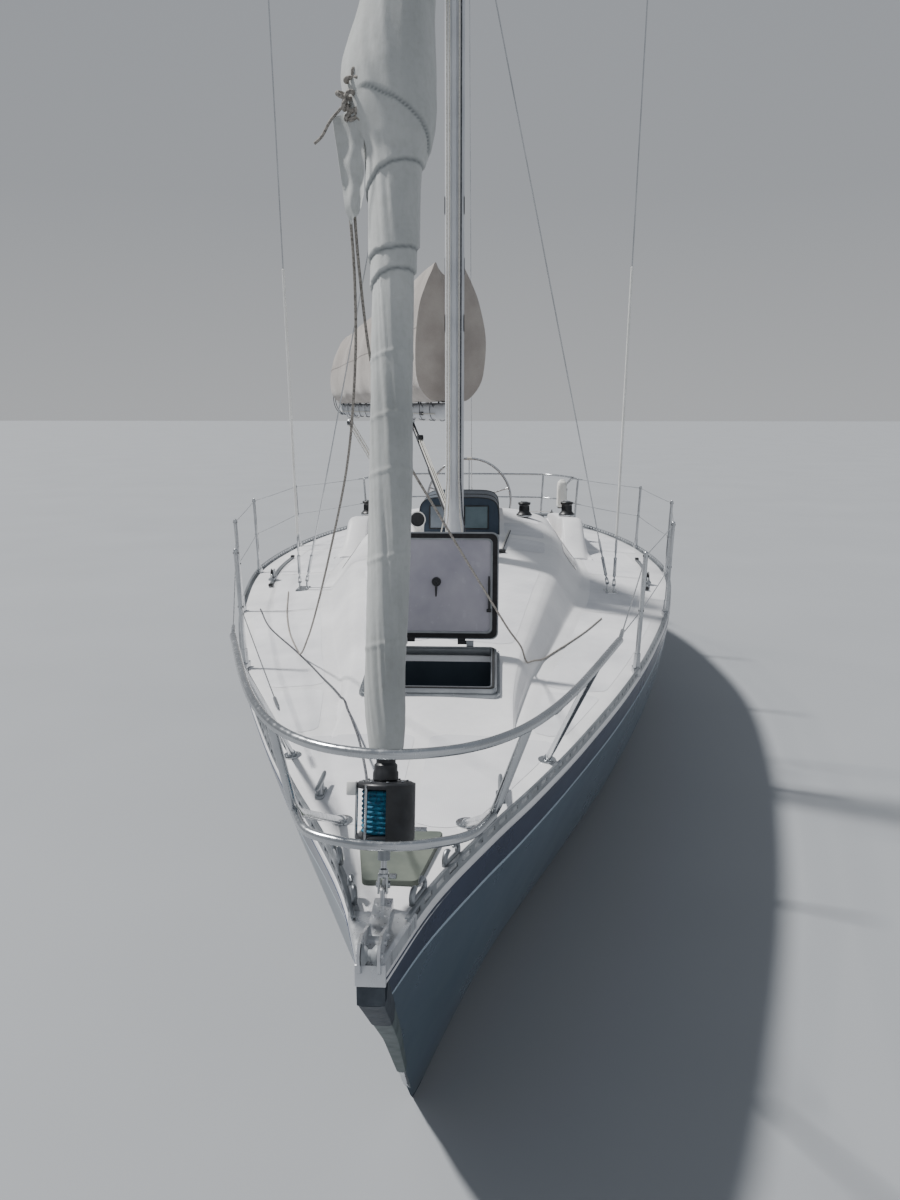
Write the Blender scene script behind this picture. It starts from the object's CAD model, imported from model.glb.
import math
from collections import namedtuple

import bmesh
import bpy
import numpy as np
from mathutils import Matrix, Vector, noise


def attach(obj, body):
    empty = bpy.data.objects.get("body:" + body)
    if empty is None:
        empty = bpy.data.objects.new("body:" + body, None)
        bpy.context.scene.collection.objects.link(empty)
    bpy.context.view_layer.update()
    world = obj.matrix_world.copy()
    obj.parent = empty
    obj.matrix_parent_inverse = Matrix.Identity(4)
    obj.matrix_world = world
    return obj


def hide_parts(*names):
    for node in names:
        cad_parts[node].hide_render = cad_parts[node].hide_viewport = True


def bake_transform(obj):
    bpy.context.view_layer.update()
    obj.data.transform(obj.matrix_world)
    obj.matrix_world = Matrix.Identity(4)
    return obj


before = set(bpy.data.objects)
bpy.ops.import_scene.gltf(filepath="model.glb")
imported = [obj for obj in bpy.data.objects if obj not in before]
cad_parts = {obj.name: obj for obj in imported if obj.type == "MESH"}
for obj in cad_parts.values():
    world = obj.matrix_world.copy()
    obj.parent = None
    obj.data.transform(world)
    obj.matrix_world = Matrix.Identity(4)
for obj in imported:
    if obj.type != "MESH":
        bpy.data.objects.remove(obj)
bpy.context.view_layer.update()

SIDES = (1, -1)
SIDE_NAMES = {1: "port", -1: "starboard"}


# Mesh building

def smoothstep(low, high, value):
    t = min(max((value - low) / (high - low), 0.0), 1.0)
    return t * t * (3 - 2 * t)


def mix(a, b, t):
    return a + (b - a) * t


def hermite(xs, ys, x):
    """A smooth value at x through the points xs, ys, with xs rising."""
    i = min(max(int(np.searchsorted(xs, x)) - 1, 0), len(xs) - 2)
    span = xs[i + 1] - xs[i]
    flat = (ys[i + 1] - ys[i]) / span
    first = flat if i == 0 else (ys[i + 1] - ys[i - 1]) / (xs[i + 1] - xs[i - 1])
    last = flat if i == len(xs) - 2 else (ys[i + 2] - ys[i]) / (xs[i + 2] - xs[i])
    t = (x - xs[i]) / span
    return ((2 * t**3 - 3 * t**2 + 1) * ys[i] + (t**3 - 2 * t**2 + t) * span * first
            + (3 * t**2 - 2 * t**3) * ys[i + 1] + (t**3 - t**2) * span * last)


def spline(points, count, closed=False):
    """count + 1 points on a smooth curve through the given ones."""
    pts = [Vector(p) for p in points]
    if closed:
        pts = [pts[-1]] + pts + [pts[0], pts[1]]
    else:
        pts = [2 * pts[0] - pts[1]] + pts + [2 * pts[-1] - pts[-2]]
    spans = len(pts) - 3
    made = []
    for k in range(count + 1):
        at = k / count * spans
        i = min(int(at), spans - 1)
        t = at - i
        a, b, c, d = pts[i:i + 4]
        made.append(0.5 * (2 * b + (c - a) * t + (2 * a - 5 * b + 4 * c - d) * t**2
                           + (3 * b - a - 3 * c + d) * t**3))
    return made


def loft(rings, round_ring=True, caps=True):
    """Vertices and faces of a skin through rings that all have the same count."""
    count = len(rings[0])
    verts = [Vector(p) for ring in rings for p in ring]
    around = count if round_ring else count - 1
    faces = []
    for r in range(len(rings) - 1):
        for i in range(around):
            a, b = r * count + i, r * count + (i + 1) % count
            faces.append([a, b, b + count, a + count])
    if caps and round_ring:
        faces.append(list(range(count))[::-1])
        faces.append([(len(rings) - 1) * count + i for i in range(count)])
    return verts, faces


def grid(rows):
    return loft(rows, round_ring=False, caps=False)


def side_axes(along, across=None):
    if across is None:
        across = Vector((0, 0, 1)) if abs(along.z) < 0.9 else Vector((1, 0, 0))
    u = (across - along * across.dot(along)).normalized()
    return u, along.cross(u)


def tube(points, radius, sides=10, flat=1.0, caps=True):
    """A pipe along points. radius is one number or one for each point; flat squeezes the second axis."""
    pts = [Vector(p) for p in points]
    radii = radius if hasattr(radius, "__len__") else [radius] * len(pts)
    across = None
    rings = []
    for i, p in enumerate(pts):
        along = (pts[min(i + 1, len(pts) - 1)] - pts[max(i - 1, 0)]).normalized()
        across, up = side_axes(along, across)
        rings.append([p + across * radii[i] * math.cos(a) + up * radii[i] * flat * math.sin(a)
                      for a in (2 * math.pi * k / sides for k in range(sides))])
    return loft(rings, caps=caps)


def rod(start, end, radius, sides=12, end_radius=None):
    return tube([start, end], [radius, radius if end_radius is None else end_radius], sides)


def lathe(profile, sides=24):
    """A turned form about +Z through (radius, height) pairs, with flat ends."""
    return loft([[(r * math.cos(a), r * math.sin(a), z)
                  for a in (2 * math.pi * k / sides for k in range(sides))] for r, z in profile])


def around(count):
    """That many angles once round, from 0."""
    return np.linspace(0, 2 * math.pi, count, endpoint=False)


def circle(radius, count):
    return [(radius * math.cos(a), radius * math.sin(a)) for a in around(count)]


def plate(outline, y_low, y_high, at=(0, 0, 0)):
    """A flat plate across Y: an outline in x and z between two places in y."""
    return loft([[(at[0] + x, at[1] + y, at[2] + z) for x, z in outline] for y in (y_low, y_high)])


def pin(centre, low, high, radius, sides=12):
    """A rod along Y, from low to high beside a centre."""
    centre = Vector(centre)
    return rod(centre + Vector((0, low, 0)), centre + Vector((0, high, 0)), radius, sides)


def grid_rim(rows, radius):
    """A closed cord along the edge of a grid of points."""
    rim = rows[0] + [row[-1] for row in rows[1:]] + rows[-1][-2::-1] + [row[0] for row in rows[-2:0:-1]]
    return tube(rim + rim[:2], radius, 8, caps=False)


def from_bmesh(bm):
    bm.verts.ensure_lookup_table()
    made = [v.co.copy() for v in bm.verts], [[v.index for v in f.verts] for f in bm.faces]
    bm.free()
    return made


def box(low, high, bevel=0.0, segments=2):
    """A block between any two opposite corners, with its edges rounded."""
    pairs = list(zip(low, high))
    low, high = [min(pair) for pair in pairs], [max(pair) for pair in pairs]
    bm = bmesh.new()
    bmesh.ops.create_cube(bm, size=1)
    for v in bm.verts:
        v.co = Vector([mix(low[i], high[i], v.co[i] + 0.5) for i in range(3)])
    if bevel:
        bmesh.ops.bevel(bm, geom=bm.edges[:], offset=bevel, segments=segments, profile=0.5, affect="EDGES")
    bm.verts.index_update()
    return from_bmesh(bm)


def block(centre, low, high, bevel=0.0):
    """A box whose corners are given from a centre."""
    return box(Vector(centre) + Vector(low), Vector(centre) + Vector(high), bevel)


def ball(centre, radius, rings=8, sides=14, squash=1.0):
    profile = [(radius * math.sin(a), -radius * squash * math.cos(a))
               for a in (math.pi * (k + 0.35) / (rings + 0.7 - 1) for k in range(rings))]
    verts, faces = lathe([(max(r, 1e-4), z) for r, z in profile], sides)
    return [v + Vector(centre) for v in verts], faces


def prism(outline, low, high, bevel=0.0):
    """An outline in x and y between two heights, its top edge eased."""
    rings = [[(x, y, low) for x, y in outline]]
    if bevel:
        middle = Vector((sum(x for x, _ in outline), sum(y for _, y in outline))) / len(outline)
        rings.append([(x, y, high - bevel) for x, y in outline])
        eased = []
        for x, y in outline:
            inward = (middle - Vector((x, y))).normalized() * bevel * 0.7
            eased.append((x + inward.x, y + inward.y, high))
        rings.append(eased)
    else:
        rings.append([(x, y, high) for x, y in outline])
    return loft(rings)


def rounded_outline(half_x, half_y, corner, steps=5):
    points = []
    for quarter, (sx, sy) in enumerate([(1, 1), (-1, 1), (-1, -1), (1, -1)]):
        for k in range(steps + 1):
            a = math.pi / 2 * (quarter + k / steps)
            points.append((sx * (half_x - corner) + corner * math.cos(a),
                           sy * (half_y - corner) + corner * math.sin(a)))
    return points


def frame_ring(outer, inner, low, high, bevel=0.0015):
    """A flat ring between two outlines of the same count, with eased edges."""
    def level(outline, z, shrink):
        return [(x * (1 - shrink), y * (1 - shrink), z) for x, y in outline]
    rings = [level(outer, low, 0), level(outer, high - bevel, 0), level(outer, high, bevel * 2),
             level(inner, high, -bevel * 2), level(inner, high - bevel, 0), level(inner, low, 0)]
    count = len(outer)
    verts, faces = loft(rings, caps=False)
    last = 5 * count
    faces += [[last + i, last + (i + 1) % count, (i + 1) % count, i] for i in range(count)]
    return verts, faces


def placed(part, matrix):
    return [matrix @ v for v in part[0]], part[1]


def shifted(part, offset):
    return placed(part, Matrix.Translation(Vector(offset)))


class Shape:
    """Gathers parts into one mesh; mark is the number of the part's material."""

    def __init__(self):
        self.verts, self.faces, self.marks = [], [], []

    def add(self, part, mark=0, place=None):
        verts, faces = placed(part, place) if place is not None else part
        first = len(self.verts)
        self.verts.extend(Vector(v) for v in verts)
        self.faces.extend([first + i for i in face] for face in faces)
        self.marks.extend([mark] * len(faces))
        return self

    def mesh(self, name, materials, angle=38.0):
        data = bpy.data.meshes.new(name)
        data.from_pydata([tuple(v) for v in self.verts], [], self.faces)
        for material in materials:
            data.materials.append(material)
        data.polygons.foreach_set("material_index", self.marks)
        outward(data)
        data.shade_smooth()
        data.set_sharp_from_angle(angle=math.radians(angle))
        obj = bpy.data.objects.new(name, data)
        bpy.context.scene.collection.objects.link(obj)
        return obj

    def piece(self, name, materials, body="root", replaces=(), slot=None, angle=38.0, place=None):
        obj = self.mesh(name, materials, angle)
        return finish_piece(obj, body, replaces, place)


def outward(data):
    bm = bmesh.new()
    bm.from_mesh(data)
    bmesh.ops.recalc_face_normals(bm, faces=bm.faces[:])
    bm.to_mesh(data)
    bm.free()


def finish_piece(obj, body="root", replaces=(), place=None):
    if place is not None:
        obj.data.transform(place)
    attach(obj, body)
    if replaces:
        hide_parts(*replaces)
    return obj


def apply_modifiers(obj):
    """The object's mesh with its modifiers made final."""
    bpy.context.view_layer.update()
    evaluated = obj.evaluated_get(bpy.context.evaluated_depsgraph_get())
    data = bpy.data.meshes.new_from_object(evaluated)
    obj.modifiers.clear()
    obj.data = data
    return obj


def cut(obj, cutter_shape):
    """The object less the gathered parts of a shape."""
    cutter = cutter_shape.mesh(obj.name + "_cutter", [])
    change = obj.modifiers.new("cut", "BOOLEAN")
    change.operation = "DIFFERENCE"
    change.solver = "EXACT"
    change.object = cutter
    apply_modifiers(obj)
    bpy.data.objects.remove(cutter)
    return obj


# Materials

def srgb(r, g, b):
    """A linear colour from 0..255 values as they look on a screen."""
    def line(c):
        c /= 255
        return c / 12.92 if c <= 0.04045 else ((c + 0.055) / 1.055) ** 2.4
    return line(r), line(g), line(b), 1.0


def principled(name, colour, roughness, metallic=0.0, **extra):
    material = bpy.data.materials.new(name)
    material.use_nodes = True
    shader = material.node_tree.nodes["Principled BSDF"]
    shader.inputs["Base Color"].default_value = colour
    shader.inputs["Roughness"].default_value = roughness
    shader.inputs["Metallic"].default_value = metallic
    for key, value in extra.items():
        shader.inputs[key.replace("_", " ")].default_value = value
    return material


class Nodes:
    """Short calls for one material's nodes. Textures are in metres, in the object's own space."""

    def __init__(self, material):
        self.tree = material.node_tree
        self.shader = self.tree.nodes["Principled BSDF"]
        self.place = self.new("ShaderNodeTexCoord").outputs["Object"]

    def new(self, kind, **inputs):
        made = self.tree.nodes.new(kind)
        for key, value in inputs.items():
            made.inputs[key.replace("_", " ")].default_value = value
        return made

    def link(self, source, target):
        self.tree.links.new(source, target)

    def scaled(self, x, y, z):
        """The place, stretched along each axis."""
        mapping = self.new("ShaderNodeMapping", Scale=(x, y, z))
        self.link(self.place, mapping.inputs["Vector"])
        return mapping.outputs["Vector"]

    def noise(self, scale, detail=4.0, roughness=0.55, vector=None):
        made = self.new("ShaderNodeTexNoise", Scale=scale, Detail=detail, Roughness=roughness)
        self.link(vector or self.place, made.inputs["Vector"])
        return made.outputs["Fac"]

    def ramp(self, fac, stops, mode="LINEAR"):
        made = self.new("ShaderNodeValToRGB")
        ramp = made.color_ramp
        ramp.interpolation = mode
        while len(ramp.elements) < len(stops):
            ramp.elements.new(0.5)
        for element, (position, colour) in zip(ramp.elements, stops):
            element.position = position
            element.color = colour
        self.link(fac, made.inputs["Fac"])
        return made.outputs["Color"]

    def blend(self, fac, a, b, mode="MIX"):
        """Mixes two colours; each is a colour or an output."""
        made = self.tree.nodes.new("ShaderNodeMix")
        made.data_type = "RGBA"
        made.blend_type = mode
        for value, target in ((fac, made.inputs[0]), (a, made.inputs[6]), (b, made.inputs[7])):
            if isinstance(value, (int, float, tuple)):
                target.default_value = value
            else:
                self.link(value, target)
        return made.outputs[2]

    def maths(self, kind, a, b=0.0):
        made = self.tree.nodes.new("ShaderNodeMath")
        made.operation = kind
        for value, target in ((a, made.inputs[0]), (b, made.inputs[1])):
            if isinstance(value, (int, float)):
                target.default_value = value
            else:
                self.link(value, target)
        return made.outputs[0]

    def spread(self, value, low, high, to_low, to_high):
        made = self.new("ShaderNodeMapRange", From_Min=low, From_Max=high, To_Min=to_low, To_Max=to_high)
        self.link(value, made.inputs["Value"])
        return made.outputs["Result"]

    def axis(self, name, vector=None):
        made = self.tree.nodes.new("ShaderNodeSeparateXYZ")
        self.link(vector or self.place, made.inputs[0])
        return made.outputs[name]

    def attribute(self, name):
        made = self.tree.nodes.new("ShaderNodeAttribute")
        made.attribute_name = name
        return made.outputs["Fac"]

    def colour(self, output):
        self.link(output, self.shader.inputs["Base Color"])

    def rough(self, output):
        self.link(output, self.shader.inputs["Roughness"])

    def bump(self, height, distance, strength=1.0):
        """Adds a bump over any that is there already."""
        made = self.new("ShaderNodeBump", Strength=strength, Distance=distance)
        self.link(height, made.inputs["Height"])
        links = self.shader.inputs["Normal"].links
        if links:
            self.link(links[0].from_socket, made.inputs["Normal"])
        self.link(made.outputs["Normal"], self.shader.inputs["Normal"])


def mottled(name, dark, light, roughness, metallic=0.0, scale=6.0, rough_swing=0.08, grain=None, **extra):
    """A surface whose colour and gloss drift a little. grain is a fine bump's (scale, depth in metres)."""
    material = principled(name, light, roughness, metallic, **extra)
    n = Nodes(material)
    drift = n.noise(scale)
    n.colour(n.ramp(drift, [(0.3, dark), (0.7, light)]))
    n.rough(n.spread(n.noise(scale * 2.3), 0.3, 0.7, roughness - rough_swing, roughness + rough_swing))
    if grain:
        n.bump(n.noise(grain[0], 2.0), grain[1])
    return material


def deck_gelcoat():
    """White gelcoat, faintly chalky, with dirt in broad pale streaks."""
    material = principled("deck_gelcoat", srgb(228, 228, 230), 0.42, Coat_Weight=0.15, Coat_Roughness=0.3)
    n = Nodes(material)
    broad = n.ramp(n.noise(1.3, 5.0), [(0.35, srgb(214, 214, 216)), (0.62, srgb(233, 233, 234))])
    fine = n.ramp(n.noise(38.0, 3.0), [(0.3, (0.93, 0.93, 0.93, 1)), (0.6, (1, 1, 1, 1))])
    n.colour(n.blend(0.6, broad, fine, "MULTIPLY"))
    n.rough(n.spread(n.noise(5.0), 0.3, 0.7, 0.34, 0.5))
    n.bump(n.noise(160.0, 2.0), 0.00015)
    return material


def nonskid():
    """Moulded non-skid: small raised diamonds in greyer gelcoat."""
    material = principled("nonskid", srgb(222, 222, 225), 0.62)
    n = Nodes(material)
    cells = n.new("ShaderNodeTexVoronoi", Scale=165.0, Randomness=0.12)
    n.link(n.place, cells.inputs["Vector"])
    n.bump(n.spread(cells.outputs["Distance"], 0.1, 0.5, 1.0, 0.0), 0.0006, 0.8)
    worn = n.ramp(n.noise(2.2, 6.0), [(0.35, srgb(206, 207, 210)), (0.65, srgb(229, 229, 231))])
    pits = n.ramp(cells.outputs["Distance"], [(0.2, (1, 1, 1, 1)), (0.6, (0.93, 0.93, 0.94, 1))])
    n.colour(n.blend(0.8, worn, pits, "MULTIPLY"))
    return material


BAND_DEPTH = 0.165
STRIPE_WIDTH = 0.016
ANTIFOULING_TOP = 0.035


def topsides():
    """Blue-grey topsides with a navy band under the sheer, a pale cove stripe and paint below the water."""
    material = principled("topsides", srgb(74, 92, 106), 0.3, Coat_Weight=0.35, Coat_Roughness=0.12)
    n = Nodes(material)
    drift = n.ramp(n.noise(0.9, 5.0), [(0.3, srgb(68, 86, 100)), (0.7, srgb(81, 99, 114))])
    runs = n.ramp(n.noise(9.0, 4.0, vector=n.scaled(1.0, 1.0, 0.12)),
                  [(0.32, (0.9, 0.9, 0.9, 1)), (0.6, (1, 1, 1, 1))])
    side = n.blend(0.55, drift, runs, "MULTIPLY")
    navy = n.ramp(n.noise(3.0), [(0.3, srgb(38, 48, 72)), (0.7, srgb(48, 60, 86))])
    depth = n.attribute("below_sheer")
    in_band = n.maths("LESS_THAN", depth, BAND_DEPTH)
    in_stripe = n.maths("LESS_THAN", depth, BAND_DEPTH + STRIPE_WIDTH)
    height = n.axis("Z")
    wet = n.maths("LESS_THAN", height, ANTIFOULING_TOP)
    grime = n.ramp(n.spread(n.maths("ADD", height, n.spread(n.noise(5.0), 0.3, 0.7, -0.05, 0.05)),
                            0.03, 0.3, 0.0, 1.0),
                   [(0.0, (0.62, 0.66, 0.64, 1)), (1.0, (1, 1, 1, 1))])
    paint = n.blend(in_stripe, side, srgb(178, 196, 210))
    paint = n.blend(in_band, paint, navy)
    paint = n.blend(0.8, paint, grime, "MULTIPLY")
    under = n.ramp(n.noise(7.0, 6.0), [(0.3, srgb(26, 36, 52)), (0.7, srgb(44, 56, 76))])
    n.colour(n.blend(wet, paint, under))
    n.rough(n.blend(wet, n.spread(n.noise(2.0), 0.3, 0.7, 0.24, 0.36), (0.82, 0.82, 0.82, 1)))
    n.bump(n.noise(2.4, 2.0), 0.0012, 0.5)
    return material


def antifouling():
    material = mottled("antifouling", srgb(24, 34, 50), srgb(46, 58, 78), 0.82, scale=7.0)
    n = Nodes(material)
    n.bump(n.noise(60.0, 4.0), 0.0006)
    return material


def brushed(name, dark, light, roughness, stretch, metallic=1.0, depth=0.00008):
    """Metal with fine lines along one axis."""
    material = principled(name, light, roughness, metallic)
    n = Nodes(material)
    lines = n.noise(60.0, 4.0, vector=n.scaled(*stretch))
    n.colour(n.ramp(n.noise(4.0, 5.0), [(0.3, dark), (0.7, light)]))
    n.rough(n.spread(lines, 0.3, 0.7, roughness - 0.07, roughness + 0.12))
    n.bump(lines, depth)
    return material


def sailcloth():
    """Weathered woven cloth with faint creases running up the roll."""
    material = principled("sailcloth", srgb(214, 213, 206), 0.78, Sheen_Weight=0.15, Sheen_Roughness=0.5)
    n = Nodes(material)
    stains = n.ramp(n.noise(3.2, 6.0, vector=n.scaled(1, 1, 0.4)),
                    [(0.28, srgb(150, 153, 152)), (0.5, srgb(177, 180, 179)), (0.72, srgb(197, 199, 197))])
    specks = n.ramp(n.noise(55.0, 5.0), [(0.3, (0.9, 0.9, 0.88, 1)), (0.55, (1, 1, 1, 1))])
    cloth = n.blend(0.7, stains, specks, "MULTIPLY")
    shade = n.maths("MULTIPLY", n.attribute("hem"), 0.75)
    n.colour(n.blend(shade, cloth, srgb(84, 90, 94)))
    n.bump(n.noise(26.0, 5.0, vector=n.scaled(1, 1, 0.3)), 0.004, 0.5)
    weave = n.new("ShaderNodeTexWave", Scale=190.0, Distortion=0.4)
    n.link(n.place, weave.inputs["Vector"])
    weave.bands_direction = "Z"
    n.bump(weave.outputs["Fac"], 0.0002, 0.5)
    return material


def canvas(name, dark, light, weave_depth=0.0002, creases=0.004):
    material = principled(name, light, 0.88, Sheen_Weight=0.25, Sheen_Roughness=0.6)
    n = Nodes(material)
    faded = n.ramp(n.noise(4.0, 6.0), [(0.3, dark), (0.7, light)])
    flecks = n.ramp(n.noise(130.0, 3.0), [(0.3, (0.9, 0.9, 0.9, 1)), (0.6, (1, 1, 1, 1))])
    n.colour(n.blend(0.7, faded, flecks, "MULTIPLY"))
    n.bump(n.noise(9.0, 4.0), creases, 0.5)
    for direction in ("X", "Z"):
        weave = n.new("ShaderNodeTexWave", Scale=240.0, Distortion=0.3)
        weave.bands_direction = direction
        n.link(n.place, weave.inputs["Vector"])
        n.bump(weave.outputs["Fac"], weave_depth, 0.5)
    return material


def teak(name, stretch):
    """Weathered teak; stretch is small along the grain."""
    material = principled(name, srgb(140, 104, 68), 0.62)
    n = Nodes(material)
    grain = n.noise(34.0, 5.0, vector=n.scaled(*stretch))
    n.colour(n.ramp(grain, [(0.3, srgb(92, 66, 42)), (0.5, srgb(132, 98, 64)), (0.72, srgb(160, 124, 84))]))
    n.bump(grain, 0.0006, 0.6)
    return material


def smoked_lens():
    """The hatch's acrylic from below: a dull lilac grey, crazed and hazy."""
    material = principled("smoked_lens", srgb(166, 163, 174), 0.22, Coat_Weight=0.4, Coat_Roughness=0.08)
    n = Nodes(material)
    haze = n.ramp(n.noise(5.0, 6.0), [(0.3, srgb(150, 148, 160)), (0.7, srgb(176, 173, 183))])
    n.colour(haze)
    n.rough(n.spread(n.noise(18.0, 5.0), 0.3, 0.7, 0.12, 0.3))
    return material


def rope(name, base, fleck, pitch=95.0):
    """Braided line: slanted strands in the bump and flecks of a second colour."""
    material = principled(name, base, 0.8)
    n = Nodes(material)
    strands = n.new("ShaderNodeTexWave", Scale=pitch, Distortion=1.5, Detail=1.0)
    strands.bands_direction = "DIAGONAL"
    n.link(n.place, strands.inputs["Vector"])
    n.bump(strands.outputs["Fac"], 0.0012, 0.7)
    n.colour(n.ramp(n.noise(140.0, 2.0), [(0.45, base), (0.62, fleck)]))
    return material


TOPSIDES = topsides()
GELCOAT = deck_gelcoat()
NONSKID = nonskid()
ANTIFOULING = antifouling()
ALUMINIUM = brushed("aluminium", srgb(126, 130, 134), srgb(166, 170, 174), 0.38, (0.04, 1, 1), 0.9)
STAINLESS = brushed("stainless", srgb(168, 171, 174), srgb(208, 210, 212), 0.2, (1, 1, 0.06))
BRIGHT = brushed("stem_metal", srgb(188, 190, 194), srgb(226, 228, 230), 0.3, (1, 1, 0.06), 0.85)
SPAR = brushed("spar", srgb(178, 181, 186), srgb(200, 203, 207), 0.45, (1, 1, 0.03), 0.0, 0.00003)
SAILCLOTH = sailcloth()
COVER = canvas("cover_cloth", srgb(140, 132, 126), srgb(170, 163, 156))
WHITE_CLOTH = canvas("white_cloth", srgb(206, 206, 200), srgb(228, 228, 224))
NAVY_CLOTH = canvas("navy_cloth", srgb(34, 46, 60), srgb(52, 68, 84))
TEAL_CLOTH = canvas("teal_cloth", srgb(70, 88, 96), srgb(98, 116, 122))
VINYL = mottled("window_vinyl", srgb(112, 120, 128), srgb(142, 150, 158), 0.16, scale=5.0, rough_swing=0.05)
LENS = smoked_lens()
BLACK = mottled("black_fittings", srgb(20, 21, 24), srgb(38, 40, 44), 0.42, scale=30.0)
RUBBER = mottled("rubber", srgb(16, 16, 18), srgb(30, 30, 33), 0.7, scale=20.0, grain=(240.0, 0.0004))
TEAK = teak("teak", (0.12, 1.0, 1.0))
BOARD_TEAK = teak("board_teak", (1.0, 0.12, 1.6))
BRONZE = brushed("bronze", srgb(104, 82, 44), srgb(150, 120, 70), 0.42, (1, 1, 0.3), 0.9)
WHITE_PLASTIC = mottled("white_plastic", srgb(216, 216, 212), srgb(236, 236, 233), 0.35, scale=9.0)
GREY_PLASTIC = mottled("grey_plastic", srgb(120, 124, 128), srgb(150, 154, 158), 0.5, scale=12.0)
DARK_GLASS = mottled("dark_glass", srgb(18, 20, 24), srgb(30, 33, 38), 0.12, scale=3.0, rough_swing=0.04)
WHITE_LINE = rope("white_line", srgb(214, 212, 204), srgb(178, 176, 168))
GREY_LINE = rope("grey_line", srgb(158, 153, 146), srgb(112, 108, 104))
DARK_LINE = rope("dark_line", srgb(44, 46, 54), srgb(108, 110, 114))
TEAL_LINE = rope("teal_line", srgb(40, 112, 142), srgb(24, 70, 96), 140.0)
STEM_PAINT = mottled("stem_paint", srgb(72, 84, 86), srgb(98, 108, 108), 0.6, scale=16.0)
STEM_RUBBER = mottled("stem_rubber", srgb(44, 52, 62), srgb(64, 72, 80), 0.65, scale=24.0)
LID_PAINT = mottled("locker_lid_paint", srgb(78, 86, 80), srgb(108, 114, 104), 0.6, scale=8.0,
                    grain=(180.0, 0.0003))
LINING = mottled("hatch_lining", srgb(34, 46, 56), srgb(50, 62, 72), 0.6, scale=5.0)
DARK_TEAK = mottled("shaded_boards", srgb(40, 36, 32), srgb(58, 52, 46), 0.7, scale=12.0)


# Lines of the hull, the same as the frame's

BOW_X = 5.15
Station = namedtuple("Station", "aft half sheer bottom floor rise bilge knee")
STATIONS = [
    Station(0.00, 0.028, 1.200, 1.120, 0.400, 0.32, 0.720, 0.65),
    Station(0.38, 0.132, 1.190, 0.740, 0.335, 0.32, 0.670, 0.65),
    Station(0.76, 0.285, 1.180, 0.290, 0.335, 0.32, 0.670, 0.65),
    Station(1.12, 0.445, 1.171, -0.060, 0.335, 0.30, 0.675, 0.62),
    Station(1.60, 0.640, 1.160, -0.170, 0.345, 0.22, 0.700, 0.52),
    Station(2.44, 0.945, 1.142, -0.300, 0.380, 0.11, 0.760, 0.37),
    Station(3.36, 1.230, 1.124, -0.400, 0.450, 0.05, 0.840, 0.28),
    Station(4.50, 1.520, 1.104, -0.475, 0.540, 0.01, 0.920, 0.23),
    Station(6.00, 1.770, 1.082, -0.500, 0.600, 0.00, 0.950, 0.23),
    Station(7.40, 1.775, 1.064, -0.430, 0.620, 0.00, 0.960, 0.23),
    Station(8.50, 1.640, 1.052, -0.250, 0.640, 0.00, 0.960, 0.23),
    Station(9.40, 1.420, 1.044, -0.020, 0.660, 0.00, 0.960, 0.23),
    Station(10.3, 1.150, 1.040, 0.200, 0.700, 0.00, 0.970, 0.23),
]
LENGTH = STATIONS[-1].aft
DECK_THICKNESS = 0.03
CAMBER = 0.055
TRANSOM_RAKE = 0.24
RAKE_START = 9.85

RoofStation = namedtuple("RoofStation", "aft half height")
ROOF = [
    RoofStation(1.75, 0.380, 0.012),
    RoofStation(2.05, 0.420, 0.062),
    RoofStation(2.56, 0.500, 0.112),
    RoofStation(3.00, 0.595, 0.155),
    RoofStation(3.80, 0.745, 0.215),
    RoofStation(4.65, 0.900, 0.270),
    RoofStation(5.80, 1.000, 0.325),
    RoofStation(7.10, 1.000, 0.380),
]
ROOF_TAKES_OVER = (1.1, 1.5)
ROOF_RISES = (1.5, 2.0)
ROOF_STEPS = 34
COCKPIT_FRONT, COCKPIT_BACK = -1.95, -4.35
HATCH_X = 2.9

Well = namedtuple("Well", "back front half low")
COCKPIT_WELL = Well(COCKPIT_BACK, COCKPIT_FRONT, 0.951, 0.33)
COMPANION_WELL = Well(COCKPIT_FRONT + 0.04, -1.23, 0.29, 0.15)
HATCH_WELL = Well(HATCH_X - 0.245, HATCH_X + 0.245, 0.275, 0.42)
LOCKER_WELL = Well(4.452, 4.708, 0.103, 0.96)
LOCKER_FORE_HALF = 0.048
WELL_REACH = 0.002
ABOVE_DECK = 1.9


def station(aft):
    columns = list(zip(*STATIONS))
    return Station(aft, *(hermite(columns[0], values, aft) for values in columns[1:]))


def station_x(s, z):
    lean = max(0.0, (s.aft - RAKE_START) / (LENGTH - RAKE_START))
    return BOW_X - s.aft + TRANSOM_RAKE * lean * (z - s.bottom)


def cambered(s, y, drop=0.0):
    """Height of the crowned deck at a station, less a drop."""
    return s.sheer - drop + CAMBER * s.half * (1 - (y / s.half) ** 2)


def deck_z(x, y):
    return cambered(station(BOW_X - x), y)


def roof_row(x):
    aft = min(max(BOW_X - x, ROOF[0].aft), ROOF[-1].aft)
    columns = list(zip(*ROOF))
    return hermite(columns[0], columns[1], aft), hermite(columns[0], columns[2], aft)


def roof_z(x, y=0.0):
    """Height of the coachroof's top near the centreline."""
    half, height = roof_row(x)
    crown = deck_z(x, 0) + height
    rise = crown - deck_z(x, half)
    return crown - 0.08 * rise * (y / (0.5 * half)) ** 2


def hull_side(s, steps=30):
    """Points (y, z) of one side from the keel line up to the hull's top."""
    height = s.sheer - DECK_THICKNESS - s.bottom
    points = []
    for k in range(steps + 1):
        t = k / steps
        low, high, end = 3 * (1 - t) ** 2 * t, 3 * (1 - t) * t**2, t**3
        points.append((s.half * (low * s.floor + high * s.bilge + end),
                       s.bottom + height * (low * s.rise + high * s.knee + end)))
    return points


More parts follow.
